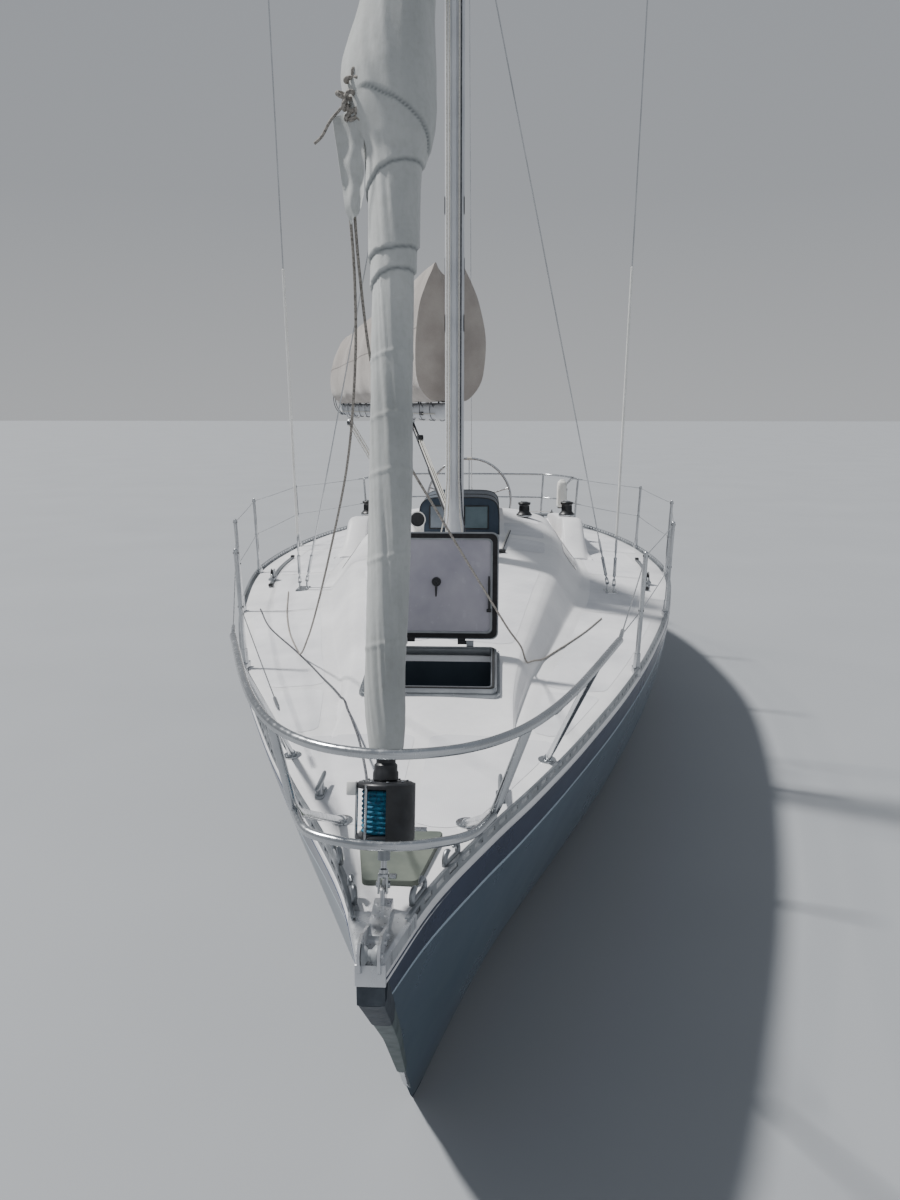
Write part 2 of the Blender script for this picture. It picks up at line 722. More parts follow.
def make_hull():
    rows = [station(LENGTH * (k / 110) ** 1.12) for k in range(111)]
    rings, depths = [], []
    for s in rows:
        top = [(y, cambered(s, y, DECK_THICKNESS)) for y in (s.half * (1 - k / 4) for k in range(1, 5))]
        half = hull_side(s) + top
        ring = half + [(-y, z) for y, z in half[-2:0:-1]]
        rings.append([(station_x(s, z), y, z) for y, z in ring])
        depths.extend(s.sheer - z for _, z in ring)
    shape = Shape().add(loft(rings))
    obj = shape.mesh("hull_skin", [TOPSIDES, GELCOAT], 30)
    below = obj.data.attributes.new("below_sheer", "FLOAT", "POINT")
    below.data.foreach_set("value", np.array(depths, np.float32))
    wells = Shape()
    for well in (COCKPIT_WELL, HATCH_WELL, COMPANION_WELL):
        wells.add(box((well.back, -well.half, well.low), (well.front, well.half, ABOVE_DECK)))
    wells.add(prism(locker_outline(0.0), LOCKER_WELL.low, ABOVE_DECK))
    cut(obj, wells)
    for face in obj.data.polygons:
        if in_well(face.center):
            face.material_index = 1
    return finish_piece(obj, replaces=["hull"])


def locker_outline(grow):
    """The anchor locker's tapered opening in the deck."""
    fore, back = LOCKER_WELL.front + grow, LOCKER_WELL.back - grow
    fore_half, back_half = LOCKER_FORE_HALF + grow, LOCKER_WELL.half + grow
    return [(fore, fore_half), (back, back_half), (back, -back_half), (fore, -fore_half)]


def in_well(p):
    """Whether a point lies in, or on the wall of, one of the spaces cut in the hull."""
    return any(w.back - WELL_REACH < p.x < w.front + WELL_REACH and abs(p.y) < w.half + WELL_REACH
               and p.z > w.low - WELL_REACH
               for w in (COCKPIT_WELL, COMPANION_WELL, HATCH_WELL, LOCKER_WELL))


def deck_rim(s):
    """The deck's rounded edge at a station, from its underside up."""
    return [(s.half - 0.003, s.sheer - DECK_THICKNESS), (s.half, s.sheer - 0.014),
            (s.half - 0.002, s.sheer - 0.006), (s.half - 0.006, s.sheer - 0.001)]


def deck_half(x):
    """The deck's section at x, from its port edge to the centreline: (y, z) pairs."""
    s = station(BOW_X - x)
    half, _ = roof_row(x)
    base = deck_z(x, half)
    crown = roof_z(x)
    rise = crown - base
    inner = half - 0.75 * rise
    side = [(half + 0.045, base), (half + 0.014, base + 0.004), (half - 0.010, base + 0.06 * rise),
            (half - 0.22 * rise, base + 0.31 * rise), (half - 0.41 * rise, base + 0.57 * rise),
            (half - 0.50 * rise, base + 0.68 * rise), (half - 0.61 * rise, base + 0.755 * rise),
            (inner, base + 0.81 * rise), (mix(inner, 0.5 * half, 0.45), base + 0.87 * rise),
            (0.5 * half, base + 0.925 * rise), (0.25 * half, base + 0.982 * rise), (0, crown)]
    roof = [(p.x, p.y) for p in spline([(y, z, 0) for y, z in side], ROOF_STEPS)]
    wide = smoothstep(*ROOF_TAKES_OVER, BOW_X - x)
    grown = smoothstep(*ROOF_RISES, BOW_X - x)
    roof_edge = mix(0.6 * s.half, half + 0.06, wide)
    top = []
    for k, (y, z) in enumerate(roof):
        y = mix(0.97 * roof_edge * (1 - k / ROOF_STEPS), y, wide)
        top.append((y, mix(deck_z(x, y), z, grown)))
    walk = [mix(s.half - 0.009, roof_edge, k / 5) for k in range(6)]
    return deck_rim(s) + [(y, deck_z(x, y)) for y in walk] + top


def deck_ring(x, half_points, drop=0.042):
    """The deck's whole section at x, closed by its underside."""
    s = station(BOW_X - x)
    other = [(-y, z) for y, z in half_points[-2::-1]]
    under = [(y, cambered(s, y, drop)) for y in (0.98 * s.half * (k / 3) for k in range(-3, 4))]
    return [(station_x(s, z), y, z) for y, z in half_points + other + under]


def plain_half(x):
    """The deck's section where there is no roof."""
    s = station(BOW_X - x)
    across = [(s.half - 0.009) * (1 - k / 16) for k in range(17)]
    return deck_rim(s) + [(y, deck_z(x, y)) for y in across]


def make_foredeck():
    xs = [mix(BOW_X, COCKPIT_FRONT, k / 150) for k in range(151)]
    obj = Shape().add(loft([deck_ring(x, deck_half(x)) for x in xs])).mesh("deck_moulding", [GELCOAT], 30)
    below, edge = 0.9, 0.001
    hatch, way = HATCH_WELL, COMPANION_WELL
    wells = Shape()
    wells.add(box((hatch.back - edge, -hatch.half - edge, below),
                  (hatch.front + edge, hatch.half + edge, ABOVE_DECK)))
    wells.add(box((COCKPIT_FRONT - 0.1, -way.half, below), (way.front, way.half, ABOVE_DECK)))
    wells.add(prism(locker_outline(edge), below, ABOVE_DECK))
    return cut(obj, wells)


def make_afterdeck():
    xs = [mix(COCKPIT_FRONT, BOW_X - LENGTH, k / 50) for k in range(51)]
    obj = Shape().add(loft([deck_ring(x, plain_half(x)) for x in xs])).mesh("after_deck", [GELCOAT], 30)
    well = Shape().add(box((COCKPIT_BACK - 0.001, -0.952, 0.9), (COCKPIT_FRONT + 0.1, 0.952, 1.5)))
    return cut(obj, well)


def coaming(side):
    """The raised edge beside the cockpit, from the roof to the stern deck."""
    heights = ((-1.25, 0.010), (-1.5, 0.060), (-1.75, 0.190), (-1.94, 0.290), (-2.4, 0.250), (-3.6, 0.190),
               (-4.35, 0.120))
    rings = []
    for k in range(61):
        x = mix(heights[0][0], heights[-1][0], k / 60)
        height = hermite([-h[0] for h in heights], [h[1] for h in heights], -x)
        inner, outer = 0.94, 1.14
        low = deck_z(x, outer) - 0.02
        top = deck_z(x, inner) + height
        section = [(inner, low), (inner, top - 0.02), (inner + 0.006, top - 0.006), (inner + 0.02, top),
                   (outer - 0.05, top - 0.002), (outer - 0.02, top - 0.012), (outer - 0.004, top - 0.03),
                   (outer + 0.018, mix(top, low, 0.55)), (outer + 0.032, low + 0.03),
                   (outer + 0.05, low + 0.012), (outer + 0.052, low)]
        rings.append([(x, side * y, z) for y, z in section])
    return loft(rings)


def join(objects, name):
    """Several meshes as one, in the first one's place."""
    with bpy.context.temp_override(active_object=objects[0], selected_editable_objects=objects,
                                   object=objects[0], selected_objects=objects):
        bpy.ops.object.join()
    objects[0].name = name
    return objects[0]


def make_deck():
    coamings = Shape()
    for side in SIDES:
        coamings.add(coaming(side))
    parts = [make_foredeck(), make_afterdeck(), coamings.mesh("coamings", [GELCOAT], 40)]
    return finish_piece(join(parts, "deck_moulding"), replaces=["deck"])


def deck_patch(x_from, x_to, inner, outer, lift=0.0012, steps=60, across=10, corner=0.06):
    """A thin panel that follows the deck between inner(x) and outer(x), with rounded corners."""
    rows = []
    for k in range(steps + 1):
        x = mix(x_from, x_to, k / steps)
        near = min(abs(x - x_from), abs(x - x_to))
        pull = corner - math.sqrt(max(0.0, corner**2 - (corner - min(near, corner)) ** 2))
        low, high = inner(x), outer(x)
        sign = 1 if high > low else -1
        rows.append([(x, y, surface_z(x, y) + lift) for y in
                     (mix(low + sign * pull, high - sign * pull, j / across) for j in range(across + 1))])
    return grid(rows)


DECK_CACHE = {}


def surface_z(x, y):
    """Height of the moulded deck or roof at a place."""
    key = round(x, 3)
    if key not in DECK_CACHE:
        section = sorted(deck_half(x) if x > COCKPIT_FRONT else plain_half(x))
        DECK_CACHE[key] = ([p[0] for p in section], [p[1] for p in section])
    ys, zs = DECK_CACHE[key]
    return float(np.interp(abs(y), ys, zs))


def make_nonskid():
    """Non-skid panels on the foredeck, the side decks and the roof, with smooth margins between."""
    def rail(x):
        return station(BOW_X - x).half - 0.10

    def foot(x):
        return min(roof_row(x)[0], 0.72 * station(BOW_X - x).half) + 0.07

    def top(x):
        return roof_row(x)[0] - 0.75 * (roof_z(x) - deck_z(x, roof_row(x)[0])) - 0.04

    def track(x):
        return rail(x) - 0.14

    def inner(value):
        return lambda x: value

    # Each panel: its fore and after edge, its inner and outer edge, and its steps.
    panels = ((4.36, 3.52, inner(0.03), rail, 40), (3.46, 2.86, lambda x: max(foot(x), 0.45), rail, 30),
              (2.80, 1.06, foot, rail, 60), (1.00, -0.42, foot, track, 50), (-0.48, -1.90, foot, track, 50),
              (2.46, 0.80, inner(0.03), top, 50), (0.22, -0.26, inner(0.03), top, 20),
              (-0.42, -1.02, inner(0.37), top, 24), (-1.16, -1.88, inner(0.37), top, 24),
              (-2.00, -4.30, inner(1.22), rail, 60), (-4.56, -4.89, inner(0.10), track, 24))
    shape = Shape()
    for side in SIDES:
        for fore, back, near, far, steps in panels:
            shape.add(deck_patch(fore, back, lambda x: side * near(x), lambda x: side * far(x), steps=steps))
    return shape.piece("nonskid_panels", [NONSKID], slot="gelcoat")


make_hull()
make_deck()
make_nonskid()


# Camera, light and floor

CAMERA = {"place": (7.09, 0.277, 2.5), "down": 11.8, "turn": 2.68, "lens": 27.9}


def make_camera():
    data = bpy.data.cameras.new("photo_view")
    data.lens = CAMERA["lens"]
    data.sensor_width = 36
    data.clip_end = 200
    camera = bpy.data.objects.new("photo_view", data)
    camera.location = CAMERA["place"]
    camera.rotation_euler = (math.radians(90 - CAMERA["down"]), 0, math.radians(90 + CAMERA["turn"]))
    bpy.context.scene.collection.objects.link(camera)
    bpy.context.scene.camera = camera


def make_light():
    world = bpy.data.worlds.new("studio")
    bpy.context.scene.world = world
    world.use_nodes = True
    tree = world.node_tree
    sky = tree.nodes.new("ShaderNodeTexCoord")
    height = tree.nodes.new("ShaderNodeSeparateXYZ")
    shade = tree.nodes.new("ShaderNodeValToRGB")
    tree.links.new(sky.outputs["Generated"], height.inputs[0])
    tree.links.new(height.outputs["Z"], shade.inputs["Fac"])
    tree.links.new(shade.outputs["Color"], tree.nodes["Background"].inputs["Color"])
    shade.color_ramp.elements[0].color = (1.26, 1.29, 1.33, 1)
    shade.color_ramp.elements[1].color = (0.80, 0.88, 1.0, 1)
    shade.color_ramp.elements.new(0.2).color = (1.0, 1.04, 1.1, 1)
    tree.nodes["Background"].inputs["Strength"].default_value = 0.36
    for name, power, softness, direction, colour in (
            ("key", 5.3, 5, (0.19, 0.53, -0.826), (1.0, 0.985, 0.96)),
            ("fill", 0.2, 60, (-0.8, -0.35, -0.45), (0.94, 0.96, 1.0))):
        data = bpy.data.lights.new(name, "SUN")
        data.energy = power
        data.angle = math.radians(softness)
        data.color = colour
        lamp = bpy.data.objects.new(name, data)
        lamp.rotation_euler = Vector(direction).to_track_quat("-Z", "Y").to_euler()
        lamp.location = (0, 0, 20)
        bpy.context.scene.collection.objects.link(lamp)


def make_floor():
    reach = 150
    floor = Shape().add(([Vector((x * reach, y * reach, 0)) for x, y in ((-1, -1), (1, -1), (1, 1), (-1, 1))],
                         [[0, 1, 2, 3]]))
    material = principled("floor", srgb(150, 153, 157), 0.75)
    n = Nodes(material)
    n.colour(n.ramp(n.noise(0.5, 2.0), [(0.3, srgb(148, 151, 155)), (0.7, srgb(152, 155, 159))]))
    floor.mesh("floor", [material])


make_camera()
make_light()
make_floor()


# Rails and guard lines

RAIL_WIDTH, RAIL_HEIGHT, RAIL_INSET = 0.032, 0.038, 0.004
RAIL_FROM, RAIL_TO = 0.19, 10.28
SLOT = {"pitch": 0.085, "length": 0.055, "low": 0.012, "high": 0.028}
STANCHION_AFT = (2.75, 4.25, 5.9, 7.6)
STANCHION_HEIGHT = 0.61


def rail_point(aft, side, inward, up):
    s = station(aft)
    ahead, behind = station(max(aft - 0.02, 0)), station(min(aft + 0.02, LENGTH))
    slope = Vector((-(behind.aft - ahead.aft), behind.half - ahead.half, 0)).normalized()
    across = Vector((slope.y, -slope.x, 0))
    edge = Vector((station_x(s, s.sheer), s.half - RAIL_INSET, s.sheer + up)) - across * inward
    return Vector((edge.x, side * edge.y, edge.z))


def perforated_web(side):
    """The rail's upright web with a slot in each pitch."""
    thick = 0.0045
    levels = (-0.004, SLOT["low"], SLOT["high"], RAIL_HEIGHT - 0.003)
    count = int((RAIL_TO - RAIL_FROM) / SLOT["pitch"])
    solid = SLOT["pitch"] - SLOT["length"]
    verts, faces = [], []
    columns = [RAIL_FROM]
    for k in range(count):
        columns += [RAIL_FROM + k * SLOT["pitch"] + solid, RAIL_FROM + (k + 1) * SLOT["pitch"]]
    for aft in columns:
        for depth in (0.0, thick):
            verts += [rail_point(aft, side, depth, z) for z in levels]
    at = lambda column, layer, level: column * 8 + layer * 4 + level
    for c in range(len(columns) - 1):
        open_cell = c % 2 == 1
        for layer in (0, 1):
            for level in range(3):
                if not (open_cell and level == 1):
                    faces.append([at(c, layer, level), at(c + 1, layer, level),
                                  at(c + 1, layer, level + 1), at(c, layer, level + 1)])
        for level in (0, 3) + ((1, 2) if open_cell else ()):
            faces.append([at(c, 0, level), at(c + 1, 0, level), at(c + 1, 1, level), at(c, 1, level)])
        if open_cell:
            for edge in (c, c + 1):
                faces.append([at(edge, 0, 1), at(edge, 1, 1), at(edge, 1, 2), at(edge, 0, 2)])
    last = len(columns) - 1
    for edge in (0, last):
        for level in range(3):
            faces.append([at(edge, 0, level), at(edge, 1, level),
                          at(edge, 1, level + 1), at(edge, 0, level + 1)])
    return verts, faces


def rail_strip(side, section):
    """A profile, as (inward, up) pairs, along the whole rail."""
    steps = 120
    return loft([[rail_point(mix(RAIL_FROM, RAIL_TO, k / steps), side, inward, up) for inward, up in section]
                 for k in range(steps + 1)])


def make_toe_rail(side):
    shape = Shape()
    shape.add(perforated_web(side))
    top, width = RAIL_HEIGHT, RAIL_WIDTH
    shape.add(rail_strip(side, [(-0.002, top - 0.006), (-0.002, top - 0.002), (0.0, top), (0.009, top),
                                (0.011, top - 0.002), (0.011, top - 0.006)]))
    shape.add(rail_strip(side, [(0.0, 0.0005), (0.0, 0.0042), (width - 0.002, 0.0042), (width, 0.002),
                                (width, 0.0005)]))
    for aft in STANCHION_AFT:
        add_stanchion(shape, aft, side)
    name = f"toe_rail_{SIDE_NAMES[side]}"
    shape.piece(name, [ALUMINIUM, STAINLESS, BLACK], replaces=[name], slot="aluminium")


def stanchion_foot(aft, side):
    s = station(aft)
    return Vector((BOW_X - aft, side * (s.half - 0.022), s.sheer + RAIL_HEIGHT - 0.006))


def stanchion_top(aft, side):
    return stanchion_foot(aft, side) + Vector((0, side * 0.025, STANCHION_HEIGHT))


def add_stanchion(shape, aft, side):
    foot, top = stanchion_foot(aft, side), stanchion_top(aft, side)
    up = top - foot
    shape.add(shifted(prism(rounded_outline(0.045, 0.019, 0.008), -0.036, 0.004, 0.002), foot), 1)
    shape.add(tube([foot, foot + up * 0.13], [0.0185, 0.0165], 16), 1)
    shape.add(tube([foot + up * 0.1, foot + up * 0.985, top + up.normalized() * -0.004, top],
                   [0.0125, 0.0125, 0.0115, 0.007], 14), 1)
    for share in (0.5, 0.965):
        at = foot + up * share
        shape.add(tube([at - Vector((0, side * 0.014, 0)), at + Vector((0, side * 0.014, 0))], 0.006, 10), 2)


PULPIT = {"top": 1.72, "middle": 1.45, "lean": 0.045, "radius": 0.0125}


def pulpit_point(aft, y, z=PULPIT["top"]):
    return Vector((BOW_X - aft, y + PULPIT["lean"] * (z - 1.2) / 0.52, z))


def make_pulpit():
    shape = Shape()
    radius = PULPIT["radius"]
    top_half = ((1.15, 0.665), (0.62, 0.485), (0.35, 0.372), (0.19, 0.27), (0.095, 0.15), (0.06, 0.0))
    low_half = ((0.33, 0.262), (0.215, 0.205), (0.16, 0.1), (0.145, 0.0))
    for half, z, count in ((top_half, PULPIT["top"], 96), (low_half, PULPIT["middle"], 48)):
        port = [pulpit_point(aft, y, z) for aft, y in half]
        starboard = [pulpit_point(aft, -y, z) for aft, y in half[-2::-1]]
        shape.add(tube(spline(port + starboard, count), radius, 16))
    for side in SIDES:
        forward_foot = Vector((BOW_X - 0.83, side * 0.2, deck_z(BOW_X - 0.83, 0.2) + 0.001))
        bend = pulpit_point(0.33, side * 0.262, PULPIT["middle"])
        forward_top = pulpit_point(0.27, side * 0.325)
        aft_foot = Vector((BOW_X - 1.43, side * 0.49, deck_z(BOW_X - 1.43, 0.49) + 0.001))
        aft_top = pulpit_point(0.8, side * 0.548)
        curve = spline([mix(forward_foot, bend, 0.85), mix(forward_foot, bend, 0.93),
                        mix(bend, forward_top, 0.12), mix(bend, forward_top, 0.3)], 14)
        shape.add(tube([forward_foot] + curve + [forward_top], radius, 16))
        shape.add(tube([aft_foot, mix(aft_foot, aft_top, 0.5), aft_top], radius, 16))
        for foot, top in ((forward_foot, bend), (aft_foot, aft_top)):
            add_rail_foot(shape, foot, top)
            for k in range(4):
                a = math.pi / 4 + k * math.pi / 2
                shape.add(shifted(ball((0, 0, 0.0065), 0.0045, 5, 8, 0.5),
                                  foot + Vector((0.026 * math.cos(a), 0.026 * math.sin(a), 0))))
        end = pulpit_point(1.15, side * 0.665)
        shape.add(ball(end, radius, 7, 14))
    return shape.piece("pulpit", [STAINLESS], replaces=["pulpit"], slot="stainless")


def add_rail_foot(shape, foot, top):
    """A round base plate on the deck and a collar round the tube that leans to its top."""
    lean = (top - foot).normalized()
    shape.add(shifted(lathe([(0.0345, -0.004), (0.036, 0.002), (0.034, 0.006), (0.02, 0.0075)], 24), foot))
    shape.add(tube([foot + lean * 0.004, foot + lean * 0.03], [0.0175, 0.0165], 16))


PUSHPIT = {"top": 1.65, "low": 1.36}
PUSHPIT_PLAN = ((-4.0, 1.27), (-4.45, 1.15), (-4.76, 0.9), (-4.83, 0.3))


def pushpit_points():
    starboard = [Vector((x, -y, PUSHPIT["top"])) for x, y in PUSHPIT_PLAN]
    return starboard + [Vector((p.x, -p.y, p.z)) for p in starboard[::-1]]


def make_pushpit():
    shape = Shape()
    points = pushpit_points()
    low = [Vector((p.x + 0.015, p.y * 0.985, PUSHPIT["low"])) for p in points]
    shape.add(tube(spline(points, 90), 0.0125, 16))
    shape.add(tube(spline(low, 90), 0.011, 14))
    for i in (0, 2, 5, 7):
        x, y = points[i].x + 0.025, points[i].y * 0.97
        foot = Vector((x, y, deck_z(x, y) + 0.001))
        shape.add(tube([foot, points[i]], 0.0125, 16))
        add_rail_foot(shape, foot, points[i])
    for end in (points[0], points[-1]):
        shape.add(ball(end, 0.0125, 7, 14))
    return shape.piece("pushpit", [STAINLESS], replaces=["pushpit"], slot="stainless")


def sagging(start, end, sag, steps=12):
    shares = [k / steps for k in range(steps + 1)]
    return [mix(Vector(start), Vector(end), t) - Vector((0, 0, 4 * sag * t * (1 - t))) for t in shares]


def make_guard_lines():
    """Two wires a side from the pulpit through the stanchions to the pushpit, each with its end fittings."""
    shape = Shape()
    for side in SIDES:
        for share, from_point, to_z in (
                (0.965, pulpit_point(1.15, side * 0.665), PUSHPIT["top"]),
                (0.5, Vector((BOW_X - 1.33, side * 0.512, 1.39)), PUSHPIT["low"])):
            stops = [from_point]
            stops += [mix(stanchion_foot(aft, side), stanchion_top(aft, side), share)
                      for aft in STANCHION_AFT]
            stops += [Vector((-4.0, side * 1.27 * (1 if share > 0.6 else 0.985), to_z))]
            for a, b in zip(stops, stops[1:]):
                shape.add(tube(sagging(a, b, 0.004), 0.0028, 8))
            for a, b in ((stops[0], stops[1]), (stops[-1], stops[-2])):
                along = (b - a).normalized()
                shape.add(tube([a + along * 0.012, a + along * 0.05, a + along * 0.13, a + along * 0.15],
                               [0.005, 0.0075, 0.0075, 0.0035], 10))
    return shape.piece("guard_lines", [STAINLESS], slot="stainless")


# Bow fittings

def make_stem_fitting():
    """A bright plate over the stem with a deep front strap, two cheeks and a bow roller."""
    shape = Shape()
    steps = 10
    rings = []
    for k in range(steps + 1):
        s = station(0.235 * (1 - k / steps))
        x = BOW_X - s.aft
        low, high = s.sheer - 0.012, s.sheer + 0.026
        half = [(s.half + 0.001, low), (s.half + 0.001, high - 0.004), (s.half - 0.004, high),
                (s.half - 0.013, high + 0.001)]
        rings.append([(x, y, z) for y, z in half + [(-y, z) for y, z in half[::-1]]])
    shape.add(loft(rings))
    shape.add(box((BOW_X - 0.004, -0.037, 1.168), (BOW_X + 0.008, 0.037, 1.226), 0.003))
    for side in SIDES:
        y = side * 0.0235
        cheek = [(-0.15, 1.205), (0.012, 1.205), (0.034, 1.222), (0.034, 1.262), (0.018, 1.284),
                 (-0.03, 1.284), (-0.15, 1.236)]
        shape.add(plate(cheek, -0.0035, 0.0035, (BOW_X, y, 0)))
        for x, z in ((0.005, 1.25), (-0.06, 1.243), (-0.12, 1.226)):
            shape.add(pin((BOW_X + x, y, z), side * -0.004, side * 0.0085, 0.0065, 10))
    roller = [(0.012, -0.0195), (0.024, -0.0185), (0.0225, -0.012), (0.013, -0.004), (0.013, 0.004),
              (0.0225, 0.012), (0.024, 0.0185), (0.012, 0.0195)]
    turn = Matrix.Translation((BOW_X + 0.005, 0, 1.25)) @ Matrix.Rotation(math.pi / 2, 4, "X")
    shape.add(lathe(roller, 24), 1, turn)
    shape.add(box((4.87, -0.025, 1.193), (BOW_X - 0.1, 0.025, 1.236), 0.003))
    shape.add(box((4.85, -0.006, 1.2), (4.91, 0.006, 1.28), 0.003))
    for x in (4.9, 4.96, 5.01):
        for y in (-0.015, 0.015):
            shape.add(ball((x, y, 1.2355), 0.0055, 5, 10, 0.5))
    return shape.piece("stem_fitting", [BRIGHT, GREY_PLASTIC], replaces=["stem_fitting"], slot="stainless")


def stem_point(z, y, proud):
    """A place on the stem's narrow flat face, seen at height z."""
    aft = float(np.interp(z, [-0.06, 0.29, 0.74, 1.12], [1.12, 0.76, 0.38, 0.0]))
    return Vector((BOW_X - aft + 0.74 * proud, y, z - 0.67 * proud))


def make_stem_guard():
    """A dark plate down the stem's face below the fitting, and a worn strip under that down to the water."""
    shape = Shape()
    for top, foot, half_top, half_foot, proud, mark in (
            (1.118, 0.925, 0.036, 0.031, 0.006, 0), (0.921, 0.42, 0.029, 0.016, 0.003, 1),
            (0.417, 0.02, 0.010, 0.005, 0.004, 2)):
        rings = []
        for k in range(13):
            z, half = mix(top, foot, k / 12), mix(half_top, half_foot, k / 12)
            depth = 1.6 * half
            rings.append([stem_point(z, y, p) for y, p in (
                (-half, -depth), (-half, -0.35 * half), (-0.86 * half, 0.6 * proud), (-0.6 * half, proud),
                (0.6 * half, proud), (0.86 * half, 0.6 * proud), (half, -0.35 * half), (half, -depth))])
        shape.add(loft(rings), mark)
    shape.add(box((BOW_X - 0.002, -0.034, 1.116), (BOW_X + 0.005, 0.034, 1.166), 0.003))
    obj = shape.mesh("stem_guard", [STEM_RUBBER, STEM_PAINT, BRIGHT], 35)
    return finish_piece(obj)


def cleat():
    """Two horns on two legs over a foot, about their own middle."""
    shape = Shape()
    shape.add(prism(rounded_outline(0.045, 0.016, 0.012), -0.004, 0.009, 0.003))
    for x in (-0.022, 0.022):
        shape.add(tube([(x, 0, 0.006), (x, 0, 0.014), (x * 0.9, 0, 0.03), (x * 0.9, 0, 0.044)],
                       [0.0125, 0.009, 0.0078, 0.009], 14))
    steps = 24
    horn = spline([(-0.085, 0, 0.0485), (-0.055, 0, 0.044), (0, 0, 0.0425),
                   (0.055, 0, 0.044), (0.085, 0, 0.0485)], steps)
    radii = [0.0038 + 0.0055 * (1 - (2 * k / steps - 1) ** 2) ** 0.5 for k in range(steps + 1)]
    shape.add(tube(horn, radii, 14))
    return shape


def make_cleats():
    places = (("bow_cleat_port", 4.1, 0.31), ("bow_cleat_starboard", 4.1, -0.31),
              ("stern_cleat_port", -4.56, 1.18), ("stern_cleat_starboard", -4.56, -1.18))
    for name, x, y in places:
        cleat().piece(name, [ALUMINIUM], replaces=[name], slot="aluminium",
                      place=Matrix.Translation((x, y, deck_z(x, y) + 0.002)))


def make_chocks():
    """Fairleads on the rail at the bow, and the small fittings beside them."""
    shape = Shape()
    horn_radii = [0.0085] * 10 + [0.008, 0.007, 0.006, 0.005, 0.004]
    for side in SIDES:
        for aft in (0.30, 0.52):
            at = rail_point(aft, side, 0.016, RAIL_HEIGHT)
            along = (rail_point(aft - 0.05, side, 0.016, RAIL_HEIGHT) - at).normalized()
            for k in (-1, 1):
                horn = [at + along * out * k + Vector((0, 0, up))
                        for out, up in ((0.045, -0.004), (0.045, 0.02), (0.03, 0.034), (0.012, 0.03))]
                shape.add(tube(spline(horn, 14), horn_radii, 12))
            shape.add(tube([at - along * 0.05, at + along * 0.05], 0.007, 10))
    return shape.piece("bow_chocks", [ALUMINIUM], slot="aluminium")


for a_side in SIDES:
    make_toe_rail(a_side)
make_pulpit()
make_pushpit()
make_guard_lines()
make_stem_fitting()
make_stem_guard()
make_cleats()
make_chocks()


# Fore hatch, in the frame's own axes: it is tilted to the roof, and the lid stands open against its stop

HATCH_TILT, LID_LEAN = 6, 5
HATCH_PLACE = Matrix.Translation((HATCH_X, 0, 1.28193)) @ Matrix.Rotation(math.radians(HATCH_TILT), 4, "Y")
LID_PLACE = (HATCH_PLACE @ Matrix.Translation((-0.274, 0, 0.044))
             @ Matrix.Rotation(-math.radians(90 + LID_LEAN + HATCH_TILT), 4, "Y"))


def make_hatch_frame():
    shape = Shape()
    # Each ring: its outer and inner outline, its lower and upper face, its bevel and its material.
    rings = (((0.26, 0.3, 0.03), (0.243, 0.272, 0.02), -0.012, 0.024, 0.003, 0),
             ((0.248, 0.278, 0.02), (0.243, 0.272, 0.02), 0.02, 0.03, 0.001, 0),
             ((0.257, 0.288, 0.024), (0.2495, 0.2795, 0.021), 0.0235, 0.0285, 0.001, 1),
             ((0.275, 0.315, 0.04), (0.2605, 0.3005, 0.03), -0.02, 0.001, 0.002, 0))
    for outer, inner, low, high, bevel, mark in rings:
        shape.add(frame_ring(rounded_outline(*outer), rounded_outline(*inner), low, high, bevel), mark)
    screws = 22
    for k in range(screws):
        x, y = outline_point(0.268, 0.308, k / screws)
        shape.add(ball((x, y, 0.001), 0.004, 4, 8, 0.5))
    ear = [(-0.286, -0.004), (-0.258, -0.004), (-0.262, 0.04), (-0.268, 0.052), (-0.28, 0.052),
           (-0.286, 0.04)]
    for side in SIDES:
        shape.add(plate(ear, -0.0175, 0.0175, (0, side * 0.1675, 0)))
    return shape.piece("fore_hatch_frame", [ALUMINIUM, RUBBER], replaces=["fore_hatch_frame"],
                       slot="aluminium", place=HATCH_PLACE)


def outline_point(half_x, half_y, share):
    """A place along a rectangle's edge."""
    around = 4 * (half_x + half_y)
    at = share * around
    for dx, dy, start in ((0, 1, (half_x, -half_y)), (-1, 0, (half_x, half_y)), (0, -1, (-half_x, half_y)),
                          (1, 0, (-half_x, -half_y))):
        length = 2 * half_y if dy else 2 * half_x
        if at <= length:
            return start[0] + dx * at, start[1] + dy * at
        at -= length
    return half_x, -half_y


